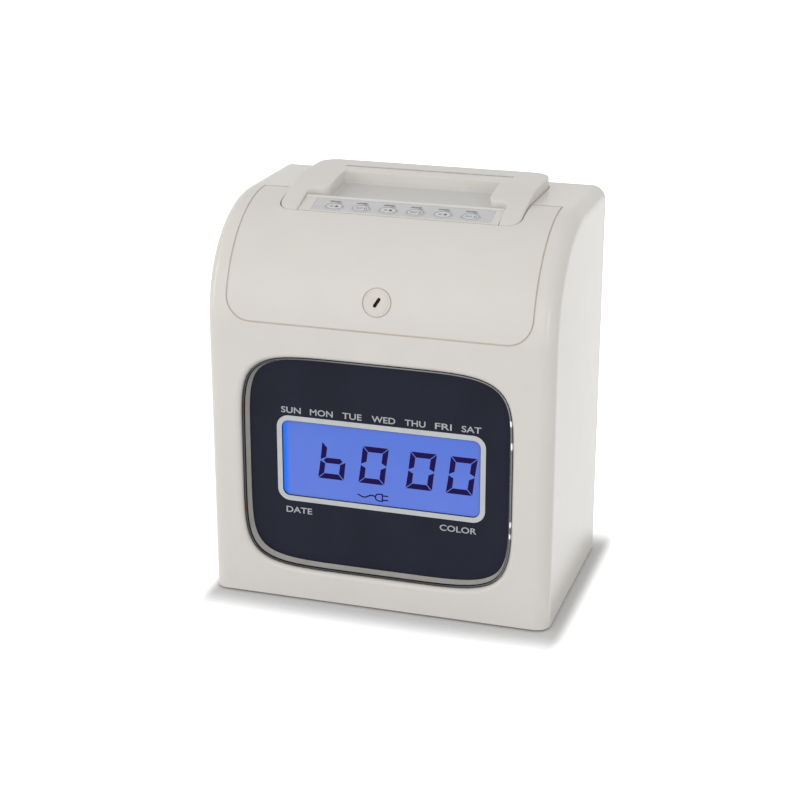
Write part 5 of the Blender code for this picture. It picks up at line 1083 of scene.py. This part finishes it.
def dress_inner_parts():
    for material, names in INNER.items():
        for name in names.split():
            for slot in frame["nodes"][name].material_slots:
                slot.material = MATERIALS[material]


# Floor, light and background

def stage():
    mesh = bpy.data.meshes.new("floor")
    mesh.from_pydata([(-4, -4, 0), (4, -4, 0), (4, 6, 0), (-4, 6, 0)], [], [(0, 1, 2, 3)])
    floor = bpy.data.objects.new("floor", mesh)
    scene.collection.objects.link(floor)
    nodes = Paint("floor")
    grey = nodes.blend(nodes.spread(nodes.noise(400, 2), 0, 1), (0.65, 0.65, 0.65), (0.67, 0.67, 0.67))
    nodes.feed(nodes.shader, {"Roughness": 0.9, "Specular IOR Level": 0.1, "Base Color": grey})
    # The glow whitens the floor seen by the camera except beside the case, which paints the case's contact shadow
    # there.
    glow = nodes.feed(nodes.add("Emission"), {"Strength": painted_shadow_glow(nodes)})
    plain = nodes.shader.outputs[0]
    total = nodes.feed(nodes.add("AddShader"), {0: plain, 1: glow.outputs[0]})
    pick = nodes.feed(nodes.add("MixShader"), {0: seen_directly(nodes), 1: plain, 2: total.outputs[0]})
    nodes.feed(nodes.tree.nodes["Material Output"], {"Surface": pick.outputs[0]})
    mesh.materials.append(nodes.material)


def painted_shadow_glow(nodes):
    """The floor's glow, which leaves a painted contact shadow: nothing beside the case, rising to full white a few
    centimetres away from it.
    """
    shift, stretch, reach = 0.003, 3.0, 0.034
    mirrored = nodes.vector("ABSOLUTE", nodes.vector("SUBTRACT", nodes.place, (shift, 0, 0)))
    past = nodes.vector("SUBTRACT", mirrored, (HALF / 1000, BACK / 1000, 0))
    sides = nodes.vector("MULTIPLY", nodes.vector("MAXIMUM", past, (0, 0, 0)), (stretch, 1, 0))
    far = nodes.work("VectorMath", "LENGTH", sides).outputs["Value"]
    rise = nodes.add("MapRange", interpolation_type="SMOOTHSTEP")
    return nodes.feed(rise, {"From Min": 0.0, "From Max": reach, "Value": far}).outputs["Result"]


def seen_directly(nodes):
    """One for rays from the camera, mirrors and glass, zero for the light that falls on things."""
    path = nodes.add("LightPath").outputs
    first = nodes.number("MAXIMUM", path["Is Camera Ray"], path["Is Glossy Ray"])
    return nodes.number("MAXIMUM", first, path["Is Transmission Ray"])


def world():
    scene.world = bpy.data.worlds.new("studio")
    scene.world.use_nodes = True
    nodes = Nodes(scene.world.node_tree)
    nodes.tree.nodes.clear()
    white = (1, 1, 1, 1)
    soft = nodes.feed(nodes.add("Background"), {"Color": white, "Strength": 0.70})
    seen = nodes.feed(nodes.add("Background"), {"Color": white, "Strength": 1.0})
    pick = nodes.feed(nodes.add("MixShader"), {0: seen_directly(nodes), 1: soft.outputs[0], 2: seen.outputs[0]})
    nodes.feed(nodes.add("OutputWorld"), {"Surface": pick.outputs[0]})


def softbox(name, place, aim, size, power):
    data = bpy.data.lights.new(name, "AREA")
    data.shape = "RECTANGLE"
    data.size, data.size_y = size
    data.energy = power
    lamp = bpy.data.objects.new(name, data)
    lamp.location = place
    lamp.rotation_euler = (Vector(aim) - Vector(place)).to_track_quat("-Z", "Y").to_euler()
    scene.collection.objects.link(lamp)


def lights():
    middle = (0, 0, 0.1)
    softbox("front_box", (-0.35, -1.5, 0.6), middle, (1.4, 1.0), 4.5)
    softbox("left_box", (-1.4, -0.5, 0.35), middle, (0.14, 1.0), 4)
    softbox("right_box", (1.05, -1.3, 0.3), middle, (0.14, 1.0), 4.3)
    softbox("top_box", (0, 0.2, 1.7), middle, (1.2, 1.2), 0.6)


camera()
make_materials()
main_case()
front_cover()
lock()
card_guide()
keys()
bezel()
panel()
display()
rear_cover()
small_parts()
dress_inner_parts()
stage()
world()
lights()
for leftover in list(SCRAP.objects):
    bpy.data.objects.remove(leftover, do_unlink=True)
bpy.data.collections.remove(SCRAP)
